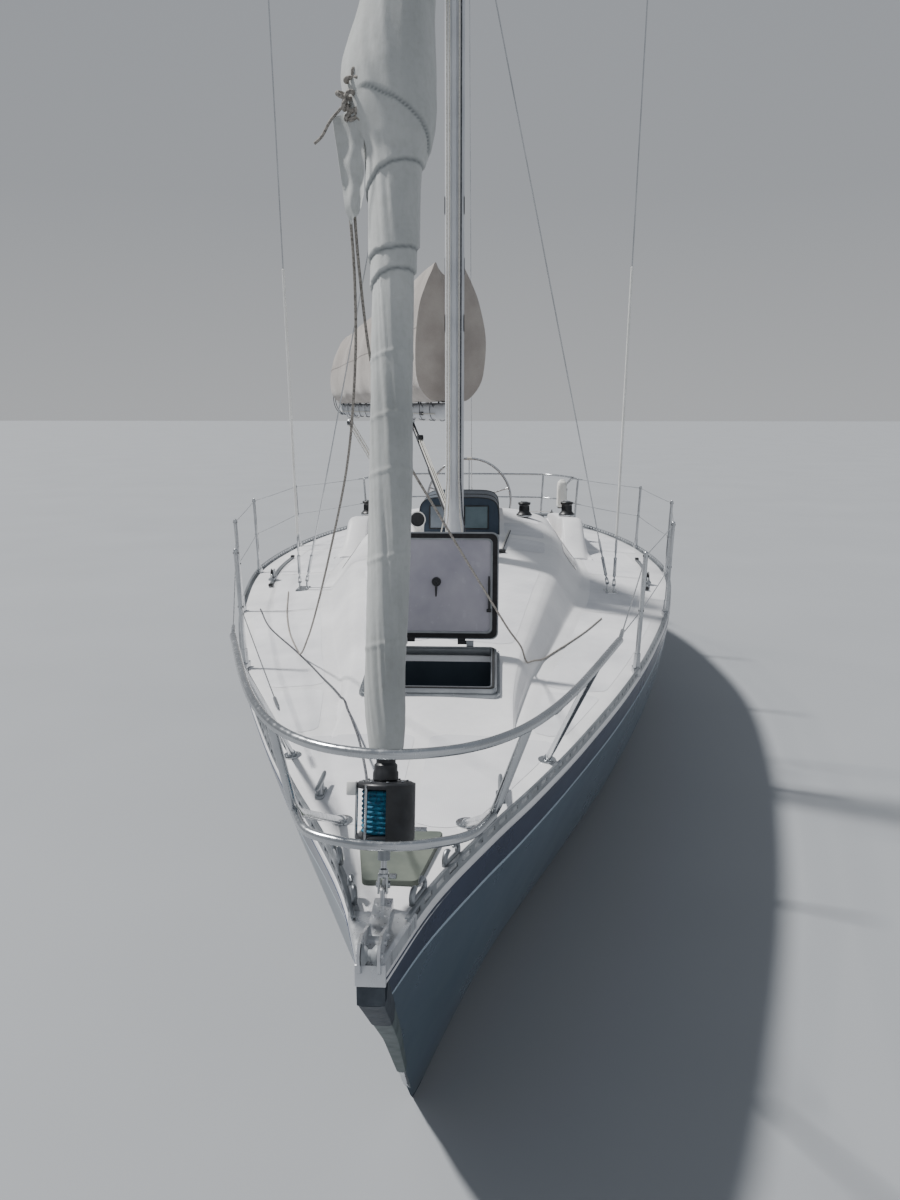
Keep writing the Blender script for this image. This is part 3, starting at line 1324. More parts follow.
def make_hatch_lid():
    """The lid's own axes: x from the hinge to the free edge, z from its inside (below 0) to its outside."""
    shape = Shape()
    middle = Matrix.Translation((0.28, 0, 0))
    outer = rounded_outline(0.264, 0.306, 0.035)
    inner = rounded_outline(0.226, 0.266, 0.022)
    shape.add(frame_ring(outer, inner, -0.002, 0.017, 0.003), 0, middle)
    shape.add(frame_ring(rounded_outline(0.257, 0.299, 0.03), rounded_outline(0.235, 0.276, 0.026),
                         -0.0078, -0.001, 0.002), 1, middle)
    shape.add(prism(rounded_outline(0.246, 0.288, 0.03), 0.014, 0.0252, 0.002), 2, middle)
    shape.add(prism(rounded_outline(0.2262, 0.2662, 0.022), 0.0045, 0.0142), 2, middle)
    for side in SIDES:
        y = side * 0.1245
        shape.add(box((0.001, y - 0.019, -0.0055), (0.034, y + 0.019, 0.0145), 0.003), 3)
        shape.add(rod((0, y - 0.0185, 0), (0, side * 0.1495, 0), 0.0105, 16), 3)
    add_latch(shape, 0.3)
    arm = [(0.16, 0.261, -0.006), (0.30, 0.259, -0.014), (0.33, 0.259, -0.012)]
    shape.add(tube(arm, [0.006, 0.006, 0.0045], 10), 3)
    shape.add(rod((0.16, 0.248, -0.006), (0.16, 0.270, -0.006), 0.008, 12), 3)
    return shape.piece("fore_hatch_lid", [ALUMINIUM, RUBBER, LENS, BLACK], "hatch_lid",
                       ["fore_hatch_lid"], "smoked_acrylic", place=LID_PLACE)


def add_latch(shape, x):
    """A turning handle on the lid's inside."""
    hub = [(0.0215, -0.004), (0.023, -0.007), (0.019, -0.014), (0.011, -0.016), (0.009, -0.024)]
    shape.add(shifted(lathe(hub, 20), (x, 0, 0.006)), 3)
    handle = [(x - 0.008, 0, -0.02), (x - 0.034, 0, -0.026), (x - 0.066, 0, -0.027), (x - 0.07, 0, -0.026)]
    shape.add(tube(handle, [0.009, 0.0085, 0.0065, 0.004], 12, 0.7), 3)


def make_hatch_well():
    """The lining of the opening under the hatch, and the berth's boards far below it."""
    shape = Shape()
    outline = rounded_outline(0.2445, 0.2745, 0.02)
    rings = [[(HATCH_X + x * grow, y * grow, z) for x, y in outline]
             for z, grow in ((1.262, 1.0), (1.1, 1.0), (0.6, 1.0), (0.43, 0.995))]
    shape.add(loft(rings, caps=False))
    for k in range(5):
        x = HATCH_X + mix(-0.19, 0.19, k / 4)
        shape.add(box((x - 0.046, -0.268, 0.421), (x + 0.046, 0.268, 0.44), 0.004), 1)
    return shape.piece("hatch_lining", [LINING, DARK_TEAK], slot="gelcoat")


def make_locker_lid():
    shape = Shape()
    z0 = deck_z(4.58, 0)
    outline = [(4.7375, -0.0775), (4.7375, 0.0775), (4.4225, 0.1325), (4.4225, -0.1325)]
    soft = []
    for i, corner in enumerate(outline):
        before, after = Vector(outline[i - 1]), Vector(outline[(i + 1) % 4])
        corner = Vector(corner)
        a = corner + (before - corner).normalized() * 0.018
        b = corner + (after - corner).normalized() * 0.018
        for t in (0, 0.25, 0.5, 0.75, 1):
            p = a * (1 - t) ** 2 + corner * 2 * t * (1 - t) + b * t**2
            soft.append((p.x, p.y))
    shape.add(prism(soft, z0 - 0.004, z0 + 0.0155, 0.004))
    for y in (-0.06, 0.06):
        shape.add(box((4.40, y - 0.02, z0 + 0.001), (4.43, y + 0.02, z0 + 0.018), 0.003), 1)
        shape.add(pin((4.424, y, z0 + 0.013), -0.021, 0.021, 0.005, 10), 1)
    shape.add(box((4.70, -0.016, z0 + 0.014), (4.727, 0.016, z0 + 0.0185), 0.002), 1)
    return shape.piece("anchor_locker_lid", [LID_PAINT, STAINLESS], "anchor_lid", ["anchor_locker_lid"],
                       "gelcoat")


make_hatch_frame()
make_hatch_lid()
make_hatch_well()
make_locker_lid()


# Headsail, rolled on its stay. In the stay's own axes +Z runs up the stay, +X points ahead and +Y to port.

STAY_FOOT = Vector((4.88, 0, 1.284))
STAY_HEAD = Vector((0.64, 0, 14.46))
STAY_LEAN = math.atan2(STAY_HEAD.x - STAY_FOOT.x, STAY_HEAD.z - STAY_FOOT.z)
STAY_PLACE = Matrix.Translation(STAY_FOOT) @ Matrix.Rotation(STAY_LEAN, 4, "Y")

RollRow = namedtuple("RollRow", "up starboard port depth")
ROLL = [
    RollRow(0.323, 0.034, 0.034, 0.034),
    RollRow(0.350, 0.046, 0.046, 0.046),
    RollRow(0.520, 0.060, 0.046, 0.056),
    RollRow(1.000, 0.060, 0.055, 0.060),
    RollRow(1.500, 0.064, 0.051, 0.063),
    RollRow(1.850, 0.066, 0.048, 0.065),
    RollRow(1.980, 0.070, 0.052, 0.068),
    RollRow(2.030, 0.080, 0.064, 0.082),
    RollRow(2.110, 0.122, 0.072, 0.092),
    RollRow(2.200, 0.142, 0.070, 0.097),
    RollRow(2.270, 0.141, 0.069, 0.096),
    RollRow(2.340, 0.128, 0.069, 0.095),
    RollRow(2.500, 0.094, 0.072, 0.092),
    RollRow(2.800, 0.092, 0.082, 0.090),
    RollRow(5.200, 0.105, 0.104, 0.104),
    RollRow(9.000, 0.082, 0.080, 0.080),
    RollRow(12.30, 0.040, 0.040, 0.040),
    RollRow(12.50, 0.022, 0.022, 0.022),
]
ROLL_SIDES = 84
CLOTH_LAYER = 0.0075
# The sail's foot climbs round the roll towards the clew: degrees turned from straight ahead, and metres up.
FOOT_EDGE = ((-200, 1.575), (-90, 1.61), (0, 1.645), (90, 1.66), (270, 1.69), (360, 1.70), (450, 1.727),
             (540, 1.79), (630, 1.885), (720, 1.945), (810, 1.975), (900, 1.995), (1010, 2.03))
CLEW_FOLD = ((-25, 2.15), (85, 2.02))
ROLL_SEAMS = (0.62, 0.85, 1.085, 1.24, 1.41, 2.75, 3.6, 4.5, 5.4, 6.3, 7.2, 8.1, 9.0, 9.9, 10.8, 11.7)


def roll_row(up):
    columns = list(zip(*ROLL))
    return RollRow(up, *(hermite(columns[0], values, up) for values in columns[1:]))


def roll_edges(up, turn):
    """The cloth's edges round a place on the roll: the height above each, and how thick its layer is."""
    degrees = math.degrees(turn)
    found = []
    for lap in range(-1, 4):
        wound = degrees + 360 * lap
        if FOOT_EDGE[0][0] < wound < FOOT_EDGE[-1][0]:
            edge = float(np.interp(wound, *zip(*FOOT_EDGE)))
            share = smoothstep(-200, -120, wound) * (1 - smoothstep(940, 1010, wound))
            found.append((up - edge, CLOTH_LAYER * share))
    fold = float(np.interp(degrees, *zip(*CLEW_FOLD)))
    share = smoothstep(-45, -10, degrees) * (1 - smoothstep(85, 110, degrees))
    share *= 1 - smoothstep(2.2, 2.5, up)
    found.append((up - fold, 1.1 * CLOTH_LAYER * share))
    return found


def roll_layers(up, turn):
    """How far the cloth stands out at a height and an angle, from the layers that end below it."""
    return sum(layer * smoothstep(-0.003, 0.003, above) for above, layer in roll_edges(up, turn))


def roll_hem(up, turn):
    """1 in the shaded seam just under a layer's edge, 0 away from the edges."""
    return max(layer / CLOTH_LAYER * math.exp(-((above + 0.004) / 0.0045) ** 2)
               for above, layer in roll_edges(up, turn))


def roll_point(up, turn, out=0.0):
    row = roll_row(up)
    centre, half = 0.5 * (row.port - row.starboard), 0.5 * (row.port + row.starboard)
    wide = Vector((math.cos(turn) / row.depth, math.sin(turn) / half, 0)).normalized()
    return Vector((row.depth * math.cos(turn), centre + half * math.sin(turn), up)) + wide * out


def roll_surface(up, turn):
    ends = smoothstep(0.33, 0.45, up) * (1 - smoothstep(12.0, 12.4, up))
    twist = turn + 1.1 * up
    crease = noise.noise(Vector((3.1 * math.cos(twist), 3.1 * math.sin(twist), 1.3 * up)))
    fine = noise.noise(Vector((9.0 * math.cos(twist), 9.0 * math.sin(twist), 5.0 * up)))
    loose = mix(0.0035, 0.0075, smoothstep(1.9, 2.15, up))
    pull = noise.noise(Vector((5.0 * turn + 9.0 * up, 2.2 * up, 4.0)))
    out = roll_layers(up, turn) + ends * (loose * crease + 0.0016 * fine + 0.003 * pull)
    for seam in ROLL_SEAMS:
        away = (up - seam - 0.012 * math.sin(turn)) / 0.006
        if abs(away) < 3:
            out += 0.0022 * math.exp(-away * away)
    return roll_point(up, turn, out)


def clew_skin():
    """The sail's corner, thick with patches, hanging free on the starboard side."""
    rows = []
    for k in range(19):
        t = k / 18
        up = mix(2.115, 1.845, t)
        width = mix(0.092, 0.058, t) * (1 - 0.35 * smoothstep(0.86, 1.0, t))
        row = []
        for j in range(9):
            across = j / 8 - 0.5
            fold = 0.007 * math.sin(9 * across + 3.2 * t) + 0.004 * math.sin(17 * t)
            ahead = 0.072 - 0.075 * t + fold - 0.05 * (0.5 - across)
            row.append(Vector((ahead, -0.142 + width * across + 0.02 * t, up + 0.02 * across)))
        rows.append(row)
    back = [[p - Vector((0.0025, 0.001, 0)) for p in row] for row in rows]
    return loft([front + behind[::-1] for front, behind in zip(rows, back)])


def cloth_size(rows):
    """Width and length of a strip of cloth given as rows of points, as if it were laid flat."""
    width = max(sum((b - a).length for a, b in zip(row, row[1:])) for row in rows)
    middle = len(rows[0]) // 2
    length = sum((b[middle] - a[middle]).length for a, b in zip(rows, rows[1:]))
    return width, length


def make_headsail():
    foot, fine_to, head = ROLL[0].up, 2.45, ROLL[-1].up
    fine, coarse = 380, 190
    ups = [mix(foot, fine_to, k / fine) for k in range(fine + 1)]
    ups += [mix(fine_to, head, k / coarse) for k in range(1, coarse + 1)]
    turns = [2 * math.pi * k / ROLL_SIDES - math.pi for k in range(ROLL_SIDES)]
    shape = Shape().add(loft([[roll_surface(up, turn) for turn in turns] for up in ups]))
    obj = shape.mesh("headsail_roll", [SAILCLOTH], 50)
    hems = [roll_hem(up, turn) for up in ups for turn in turns]
    obj.data.attributes.new("hem", "FLOAT", "POINT").data.foreach_set("value", np.array(hems, np.float32))
    return finish_piece(obj, replaces=["headsail_roll"], place=STAY_PLACE)


def make_clew():
    obj = Shape().add(clew_skin()).piece("headsail_clew", [SAILCLOTH], slot="sailcloth", angle=50,
                                         place=STAY_PLACE)
    return obj


def knot(centre, size, turn):
    """A bowline seen as a lump: three laps of line through each other."""
    points = []
    for k in range(61):
        a = 2 * math.pi * k / 60
        points.append(Vector((size * (math.sin(a) + 0.9 * math.sin(2 * a)) / 1.9,
                              size * (math.cos(a) - 0.9 * math.cos(2 * a)) / 1.9,
                              -0.45 * size * math.sin(3 * a))))
    turned = Matrix.Translation(Vector(centre)) @ Matrix.Rotation(turn, 4, "X") @ Matrix.Rotation(1.2, 4, "Y")
    return placed(tube(points, 0.0062, 10, caps=False), turned)


SHEET_RADIUS = 0.0045
PORT_SHEET = ((4.24, -0.142, 3.31), (4.245, -0.135, 3.1), (4.24, -0.12, 2.86), (4.17, -0.095, 2.6),
              (4.04, -0.035, 2.38), (3.75, 0.09, 2.1), (3.35, 0.225, 1.79), (2.98, 0.345, 1.515),
              (2.74, 0.415, 1.365))
PORT_SHEET_DECK = ((2.6, 0.455), (2.35, 0.54), (2.0, 0.68), (1.6, 0.84), (1.2, 0.98))
STARBOARD_SHEET = ((4.25, -0.155, 3.29), (4.25, -0.148, 3.1), (4.23, -0.138, 2.85), (4.15, -0.155, 2.6),
                   (3.9, -0.225, 2.3), (3.5, -0.36, 1.95), (3.0, -0.52, 1.6), (2.55, -0.66, 1.34))
STARBOARD_SHEET_DECK = ((2.2, -0.78), (1.7, -0.94), (1.1, -1.09), (0.33, -1.25))
FURLING_LINE = ((4.80, -0.055, 1.49), (4.55, -0.085, 1.42), (4.1, -0.16, 1.315), (3.6, -0.26, 1.235))
FURLING_LINE_DECK = ((3.11, -0.40), (2.65, -0.58), (2.16, -0.80), (1.5, -1.11), (0.9, -1.32))


def led_line(free, deck):
    """A line from a fitting down to the deck and along it."""
    above = SHEET_RADIUS + 0.001
    laid = [(x, y, surface_z(x, y) + above) for x, y in deck]
    points = spline(list(free) + laid, 150)
    last_x = free[-1][0]
    for p in points:
        if p.x < last_x:
            p.z = max(p.z, surface_z(p.x, p.y) + above)
    return tube(points, SHEET_RADIUS, 10)


def make_headsail_lines():
    shape = Shape()
    shape.add(led_line(PORT_SHEET, PORT_SHEET_DECK))
    shape.add(led_line(STARBOARD_SHEET, STARBOARD_SHEET_DECK))
    for centre, size, turn in (((4.285, -0.122, 3.39), 0.024, 0.3), ((4.295, -0.144, 3.335), 0.028, 1.4),
                               ((4.29, -0.112, 3.29), 0.023, 2.3), ((4.288, -0.132, 3.30), 0.021, 0.9)):
        shape.add(knot(centre, size, turn))
    tail = [(4.30, -0.155, 3.31), (4.31, -0.185, 3.275), (4.31, -0.21, 3.235), (4.312, -0.232, 3.215)]
    shape.add(tube(spline(tail, 14), 0.0042, 10))
    shape.add(led_line(FURLING_LINE, FURLING_LINE_DECK), 1)
    return shape.piece("headsail_lines", [GREY_LINE, DARK_LINE], slot="sailcloth")


def make_drum():
    shape = Shape()
    shape.add(lathe([(0.0165, 0.058), (0.0165, 0.11)], 20), 2)
    cheek = [(0.020, -0.012), (0.070, -0.010), (0.0765, -0.005), (0.0778, 0.0), (0.0765, 0.005),
             (0.064, 0.008), (0.046, 0.010)]
    shape.add(lathe([(r, 0.118 + z) for r, z in cheek], 40))
    shape.add(lathe([(r, 0.250 - z) for r, z in cheek[::-1]], 40))
    windings, lap_steps, low, high = 9, 6, 0.128, 0.240
    steps = windings * lap_steps
    spool = [(0.0565 + 0.0055 * abs(math.sin(math.pi * k / lap_steps)), mix(low, high, k / steps))
             for k in range(steps + 1)]
    shape.add(lathe([(0.045, low)] + spool + [(0.045, high)], 40), 1)
    shape.add(lathe([(0.030, 0.261), (0.034, 0.266), (0.034, 0.284), (0.031, 0.289), (0.031, 0.303),
                     (0.026, 0.309), (0.026, 0.322)], 28))
    wall = ((0.0765, 0.113), (0.0795, 0.113), (0.0795, 0.256), (0.0765, 0.256))
    shape.add(loft([[(r * math.cos(a), r * math.sin(a), z) for r, z in wall]
                    for a in (math.radians(mix(8, 205, k / 32)) for k in range(33))]))
    for degrees in (-35, -80, -125):
        a = math.radians(degrees)
        x, y = 0.0745 * math.cos(a), 0.0745 * math.sin(a)
        shape.add(rod((x, y, 0.114), (x, y, 0.254), 0.004, 10), 3)
    shape.add(box((0.012, -0.098, 0.226), (0.040, -0.072, 0.262), 0.004), 4)
    for k in range(8):
        a = 2 * math.pi * k / 8 + 0.2
        shape.add(ball((0.058 * math.cos(a), 0.058 * math.sin(a), 0.2625), 0.004, 5, 8, 0.6), 3)
    return shape.piece("furling_drum", [BLACK, TEAL_LINE, ALUMINIUM, STAINLESS, WHITE_PLASTIC],
                       replaces=["furling_drum"], slot="black_fittings", place=STAY_PLACE)


def make_toggle():
    shape = Shape()
    cheek = [(-0.016, -0.026), (0.016, -0.026), (0.016, 0.012), (0.011, 0.024), (-0.011, 0.024),
             (-0.016, 0.012)]
    for side in SIDES:
        shape.add(plate(cheek, side * 0.0085, side * 0.0135))
        shape.add(pin((0, 0, -0.004), side * 0.013, side * 0.0185, 0.010, 14))
    shape.add(box((-0.0155, -0.0135, 0.013), (0.0155, 0.0135, 0.024), 0.003))
    shape.add(lathe([(0.012, 0.022), (0.012, 0.034), (0.008, 0.038), (0.008, 0.0592)], 18))
    return shape.piece("forestay_toggle", [STAINLESS], replaces=["forestay_toggle"], slot="stainless",
                       place=STAY_PLACE)


make_headsail()
make_clew()
make_headsail_lines()
make_drum()
make_toggle()


# Mast and standing rigging

MAST_X, MAST_TOP = 0.5, 14.5
MAST_FOOT = roof_z(MAST_X) + 0.004
MAST_HALF = (0.095, 0.065)
GOOSENECK = Vector((0.38, 0, 2.46))
CHAINPLATE = (0.26, 1.175)
SPREADERS = {"lower": (0.25, 1.27, 5.95), "upper": (0.32, 0.96, 9.9)}
WIRE = 0.0045
SLEEVE_FROM, SLEEVE_TO = 0.36, 2.24
BACKSTAY_X = -4.85


def mast_outline():
    """An ellipse with the sail's groove down its after side."""
    gap = 0.1
    outline = [(MAST_HALF[0] * math.cos(a), MAST_HALF[1] * math.sin(a))
               for a in np.linspace(-math.pi + gap, math.pi - gap, 47)]
    return outline + [(-0.079, 0.0055), (-0.079, -0.0055)]


def make_mast():
    shape = Shape()
    at = Matrix.Translation((MAST_X, 0, 0))
    outline = mast_outline()
    heights = [MAST_FOOT + 0.001, MAST_FOOT + 0.03] + [mix(MAST_FOOT, MAST_TOP, k / 24) for k in range(1, 25)]
    shape.add(loft([[(x, y, z) for x, y in outline] for z in heights]), 0, at)
    shape.add(prism(rounded_outline(0.122, 0.092, 0.03), MAST_FOOT - 0.045, MAST_FOOT + 0.016, 0.006), 1, at)
    collar = [(x * 1.1, y * 1.14) for x, y in mast_outline()[:-2]]
    shape.add(prism(collar, MAST_FOOT, MAST_FOOT + 0.05, 0.004), 1, at)
    for x in (-0.1, 0.1):
        for y in (-0.072, 0.072):
            shape.add(lathe([(0.009, 0), (0.009, 0.006), (0.006, 0.008)], 6), 1,
                      Matrix.Translation((MAST_X + x, y, MAST_FOOT + 0.016)))
    add_masthead(shape)
    add_mast_fittings(shape)
    return shape.piece("mast", [SPAR, ALUMINIUM, STAINLESS, BLACK], replaces=["mast"], slot="spar")


def add_masthead(shape):
    """The crane: a body between two cheeks, with its sheaves."""
    top = Vector((MAST_X, 0, MAST_TOP))
    shape.add(block(top, (-0.26, -0.027, -0.012), (0.15, 0.027, 0.03), 0.004), 1)
    cheek = [(-0.258, 0.0), (-0.09, -0.02), (0.1, -0.02), (0.148, 0.005), (0.148, 0.045), (0.11, 0.058),
             (-0.22, 0.058), (-0.258, 0.04)]
    for side in SIDES:
        shape.add(plate(cheek, side * 0.0215, side * 0.028, top), 1)
    for x in (-0.12, -0.04, 0.06, 0.115):
        axle = top + Vector((x, 0, 0.03))
        shape.add(pin(axle, -0.02, 0.02, 0.025, 20), 3)
        shape.add(pin(axle, -0.0295, 0.0295, 0.006, 10), 2)


def add_mast_fittings(shape):
    """Gooseneck and vang brackets, spreader collars, shroud tangs, a forward track and line exits."""
    pivot, height = GOOSENECK.x, GOOSENECK.z
    fork = [(pivot - 0.028, -0.02), (pivot - 0.02, -0.031), (pivot + 0.06, -0.031), (pivot + 0.06, 0.031),
            (pivot - 0.02, 0.031), (pivot - 0.028, 0.02)]
    for low, high in ((0.046, 0.058), (-0.058, -0.046)):
        shape.add(prism(fork, height + low, height + high, 0.002), 2)
    for low, high, radius, sides in ((-0.066, 0.066, 0.009, 16), (-0.067, -0.060, 0.014, 12),
                                     (0.059, 0.066, 0.014, 12)):
        shape.add(rod((pivot, 0, height + low), (pivot, 0, height + high), radius, sides), 2)
    shape.add(block((MAST_X, 0, height), (-0.105, -0.034, -0.11), (-0.084, 0.034, 0.11), 0.004), 2)
    bracket = [(pivot - 0.022, -0.012), (pivot - 0.012, -0.02), (0.44, -0.02), (0.44, 0.02),
               (pivot - 0.012, 0.02), (pivot - 0.022, 0.012)]
    shape.add(prism(bracket, MAST_FOOT + 0.05, MAST_FOOT + 0.064, 0.002), 2)
    collar = [(x * 1.035, y * 1.045) for x, y in mast_outline()[:-2]]
    tang = [(-0.03, -0.16), (0.01, -0.16), (0.014, -0.05), (-0.034, -0.05)]
    for _, _, z in SPREADERS.values():
        shape.add(prism(collar, z - 0.045, z + 0.045, 0.003), 1, Matrix.Translation((MAST_X, 0, 0)))
        for side in SIDES:
            shape.add(plate(tang, side * 0.060, side * 0.071, (MAST_X, 0, z)), 2)
            shape.add(pin((MAST_X - 0.012, 0, z - 0.1), side * 0.06, side * 0.085, 0.008), 2)
    track = [(0.0945, -0.014), (0.0985, -0.014), (0.0985, -0.006), (0.104, -0.013), (0.107, -0.013),
             (0.107, 0.013), (0.104, 0.013), (0.0985, 0.006), (0.0985, 0.014), (0.0945, 0.014)]
    shape.add(loft([[(MAST_X + x - 0.002, y, z) for x, y in track] for z in (1.78, 5.2)]))
    for side in SIDES:
        for z, ahead in ((3.05, 0.02), (3.42, -0.015), (3.8, 0.02)):
            a = math.acos(ahead / MAST_HALF[0])
            y = side * (MAST_HALF[1] * math.sin(a) + 0.0005)
            shape.add(block((MAST_X + ahead, y, z), (-0.013, 0, -0.055), (0.013, side * 0.003, 0.055),
                            0.0012), 3)


def make_spreaders():
    for level, (tip_x, tip_y, z) in SPREADERS.items():
        for side in SIDES:
            shape = Shape()
            root = Vector((MAST_X - 0.012, side * 0.055, z + 0.001))
            end = Vector((tip_x, side * (tip_y - 0.008), z + 0.06))
            rings = []
            for k in range(13):
                t = k / 12
                at, half, thick = mix(root, end, t), mix(0.055, 0.03, t), mix(0.013, 0.009, t)
                rings.append([at + Vector((half * math.cos(a), 0, thick * math.sin(a))) for a in around(20)])
            shape.add(loft(rings))
            cap = [end + Vector((0, side * y, 0)) for y in (-0.026, -0.006, 0.002)]
            shape.add(tube(cap, [0.034, 0.034, 0.028], 18, 0.42), 1)
            shape.add(block((root.x, 0, z), (-0.06, side * 0.062, -0.018), (0.06, side * 0.1, 0.02), 0.006),
                      2)
            name = f"spreader_{level}_{SIDE_NAMES[side]}"
            shape.piece(name, [SPAR, WHITE_PLASTIC, ALUMINIUM], replaces=[name], slot="spar")


def add_turnbuckle(shape, foot, up):
    """Fork, stud, tubular body, stud and swaged end, from the pin at foot."""
    at = lambda s: foot + up * s
    across = side_axes(up, Vector((0, 1, 0)))[0]
    for sign in (1, -1):
        ends = [at(-0.009) + across * sign * 0.0085, at(0.032) + across * sign * 0.0085]
        shape.add(tube(ends, [0.009, 0.008], 10, 0.45))
    shape.add(rod(at(0) - across * 0.014, at(0) + across * 0.014, 0.0055, 12))
    shape.add(tube([at(0.026), at(0.04), at(0.042), at(0.062)], [0.013, 0.011, 0.006, 0.006], 14))
    shape.add(tube([at(s) for s in (0.058, 0.064, 0.066, 0.074, 0.076, 0.186, 0.188, 0.196, 0.198, 0.204)],
                   [0.009, 0.0125, 0.0125, 0.0125, 0.0115, 0.0115, 0.0125, 0.0125, 0.0125, 0.009], 12))
    shape.add(tube([at(s) for s in (0.2, 0.232, 0.236, 0.32, 0.345)],
                   [0.006, 0.006, 0.0085, 0.0085, 0.005], 12))


def add_stay(shape, foot, stops, swage, radius):
    """A wire through stops from its turnbuckle at foot, with a swaged end: shares of the last stretch."""
    up = (stops[0] - foot).normalized()
    shape.add(tube([foot + up * 0.3] + stops, WIRE, 10))
    before = ([foot] + stops)[-2]
    shape.add(tube([mix(stops[-1], before, share) for share in swage], [radius, radius, 0.005], 12))
    add_turnbuckle(shape, foot, up)


def make_shrouds():
    x, y = CHAINPLATE
    pin_z = deck_z(x, y) + 0.062
    for side in SIDES:
        name = f"cap_shroud_{SIDE_NAMES[side]}"
        foot = Vector((x, side * y, pin_z))
        tips = [Vector((tip_x, side * (tip_y + 0.004), z + 0.06)) for tip_x, tip_y, z in SPREADERS.values()]
        head = Vector((MAST_X - 0.005, side * 0.068, MAST_TOP - 0.06))
        cap = Shape()
        add_stay(cap, foot, tips + [head], (0.001, 0.018, 0.022), 0.009)
        for tip in tips:
            cap.add(ball(tip, 0.011, 7, 12))
        up = (tips[0] - foot).normalized()
        sleeve = [foot + up * s for s in (SLEEVE_FROM, SLEEVE_FROM + 0.003, SLEEVE_TO, SLEEVE_TO + 0.003)]
        cap.add(tube(sleeve, [0.006, 0.0095, 0.0095, 0.006], 14), 1)
        cap.piece(name, [STAINLESS, WHITE_PLASTIC], replaces=[name], slot="stainless")
        name = f"lower_shroud_{SIDE_NAMES[side]}"
        foot = Vector((x - 0.07, side * (y - 0.04), pin_z))
        head = Vector((MAST_X - 0.02, side * 0.078, SPREADERS["lower"][2] - 0.09))
        low = Shape()
        add_stay(low, foot, [head], (0.0, 0.03, 0.036), 0.008)
        low.piece(name, [STAINLESS], replaces=[name], slot="stainless")
        make_chainplates(side)


def make_chainplates(side):
    x, y = CHAINPLATE
    name = f"chainplates_{SIDE_NAMES[side]}"
    shape = Shape()
    bx, by = x - 0.03, side * (y - 0.018)
    base = deck_z(bx, by)
    shape.add(shifted(prism(rounded_outline(0.09, 0.045, 0.014), -0.012, 0.007, 0.002), (bx, by, base)))
    for u in (-0.072, 0.0, 0.072):
        for v in (-0.03, 0.03):
            shape.add(shifted(ball((u, v, 0.0075), 0.0065, 5, 10, 0.5), (bx, by, base)))
    top = deck_z(x, y) + 0.061
    for px, py in ((x, side * y), (x - 0.07, side * (y - 0.04))):
        lug = [(-0.022, base), (0.022, base)]
        lug += [(0.02 * math.cos(a), top - 0.014 + 0.0145 * math.sin(a)) for a in np.linspace(0, math.pi, 9)]
        shape.add(plate(lug, -0.0045, 0.0045, (px, py, 0)))
    return shape.piece(name, [STAINLESS], replaces=[name], slot="stainless")


def make_backstay():
    head = Vector((MAST_X - 0.252, 0, MAST_TOP - 0.024))
    base = deck_z(BACKSTAY_X, 0)
    foot = Vector((BACKSTAY_X, 0, base + 0.06))
    length = (head - foot).length
    shape = Shape()
    add_stay(shape, foot, [head], [along / length for along in (0.002, 0.12, 0.14)], 0.009)
    lug = [(-0.04, 0.0), (0.03, 0.0), (0.018, 0.064), (0.006, 0.074), (-0.008, 0.074), (-0.02, 0.064)]
    shape.add(plate(lug, -0.006, 0.006, (BACKSTAY_X, 0, base)))
    foot_plate = prism(rounded_outline(0.05, 0.035, 0.01), -0.01, 0.006, 0.002)
    shape.add(shifted(foot_plate, (BACKSTAY_X - 0.005, 0, base)))
    return shape.piece("backstay", [STAINLESS], replaces=["backstay"], slot="stainless")


def make_halyards():
    """Lines down the front of the mast to blocks at its foot, and aft over the roof to their stoppers."""
    shape = Shape()
    for y, mark in ((0.034, 0), (-0.030, 0), (0.046, 1), (-0.048, 0)):
        x = MAST_X + 0.104 if abs(y) < 0.04 else MAST_X + 0.085
        sheave = Vector((MAST_X + 0.155, y * 2.3, MAST_FOOT + 0.06))
        shape.add(tube([(x, y, MAST_TOP - 0.02), (x, y, 2.0), (x + 0.02, y * 1.3, 1.75), sheave], 0.0048, 8),
                  mark)
        stopper = Vector((-0.42, 0.37 if y > 0 else -0.45, 0))
        stopper.y += y
        stopper.z = surface_z(stopper.x, stopper.y) + 0.03
        turn = Vector((0.36, math.copysign(0.30, y) + y, 0))
        turn.z = surface_z(turn.x, turn.y) + 0.018
        sheave.z -= 0.012
        shape.add(tube([sheave, turn, stopper], 0.0048, 8), mark)
        add_block(shape, sheave, 2)
        shape.add(lathe([(0.024, 0.0), (0.024, 0.022), (0.020, 0.026)], 18), 2,
                  Matrix.Translation((turn.x, turn.y, turn.z - 0.02)))
    return shape.piece("halyards", [WHITE_LINE, DARK_LINE, BLACK], slot="sailcloth")


def add_block(shape, centre, mark):
    """A small turning block: two cheeks and a sheave."""
    for low, high, radius in ((-0.014, -0.008, 0.026), (0.008, 0.014, 0.026), (-0.009, 0.009, 0.021)):
        shape.add(pin(centre, low, high, radius, 18), mark)
    shape.add(block(centre, (-0.012, -0.012, -0.06), (0.012, 0.012, -0.02), 0.003), mark)


make_mast()
make_spreaders()
make_shrouds()
make_backstay()
make_halyards()


# Boom, with the mainsail stowed on it under a cover. In the boom's own axes +X runs aft along it.

BOOM_SWING = 19.5
BOOM_PLACE = Matrix.Translation(GOOSENECK) @ Matrix.Rotation(math.pi + math.radians(BOOM_SWING), 4, "Z")
StowRow = namedtuple("StowRow", "along height half")
STOW = [
    StowRow(0.15, 0.96, 0.262),
    StowRow(0.50, 0.94, 0.245),
    StowRow(1.50, 0.86, 0.215),
    StowRow(3.00, 0.74, 0.195),
    StowRow(4.10, 0.64, 0.180),
    StowRow(4.24, 0.56, 0.130),
]


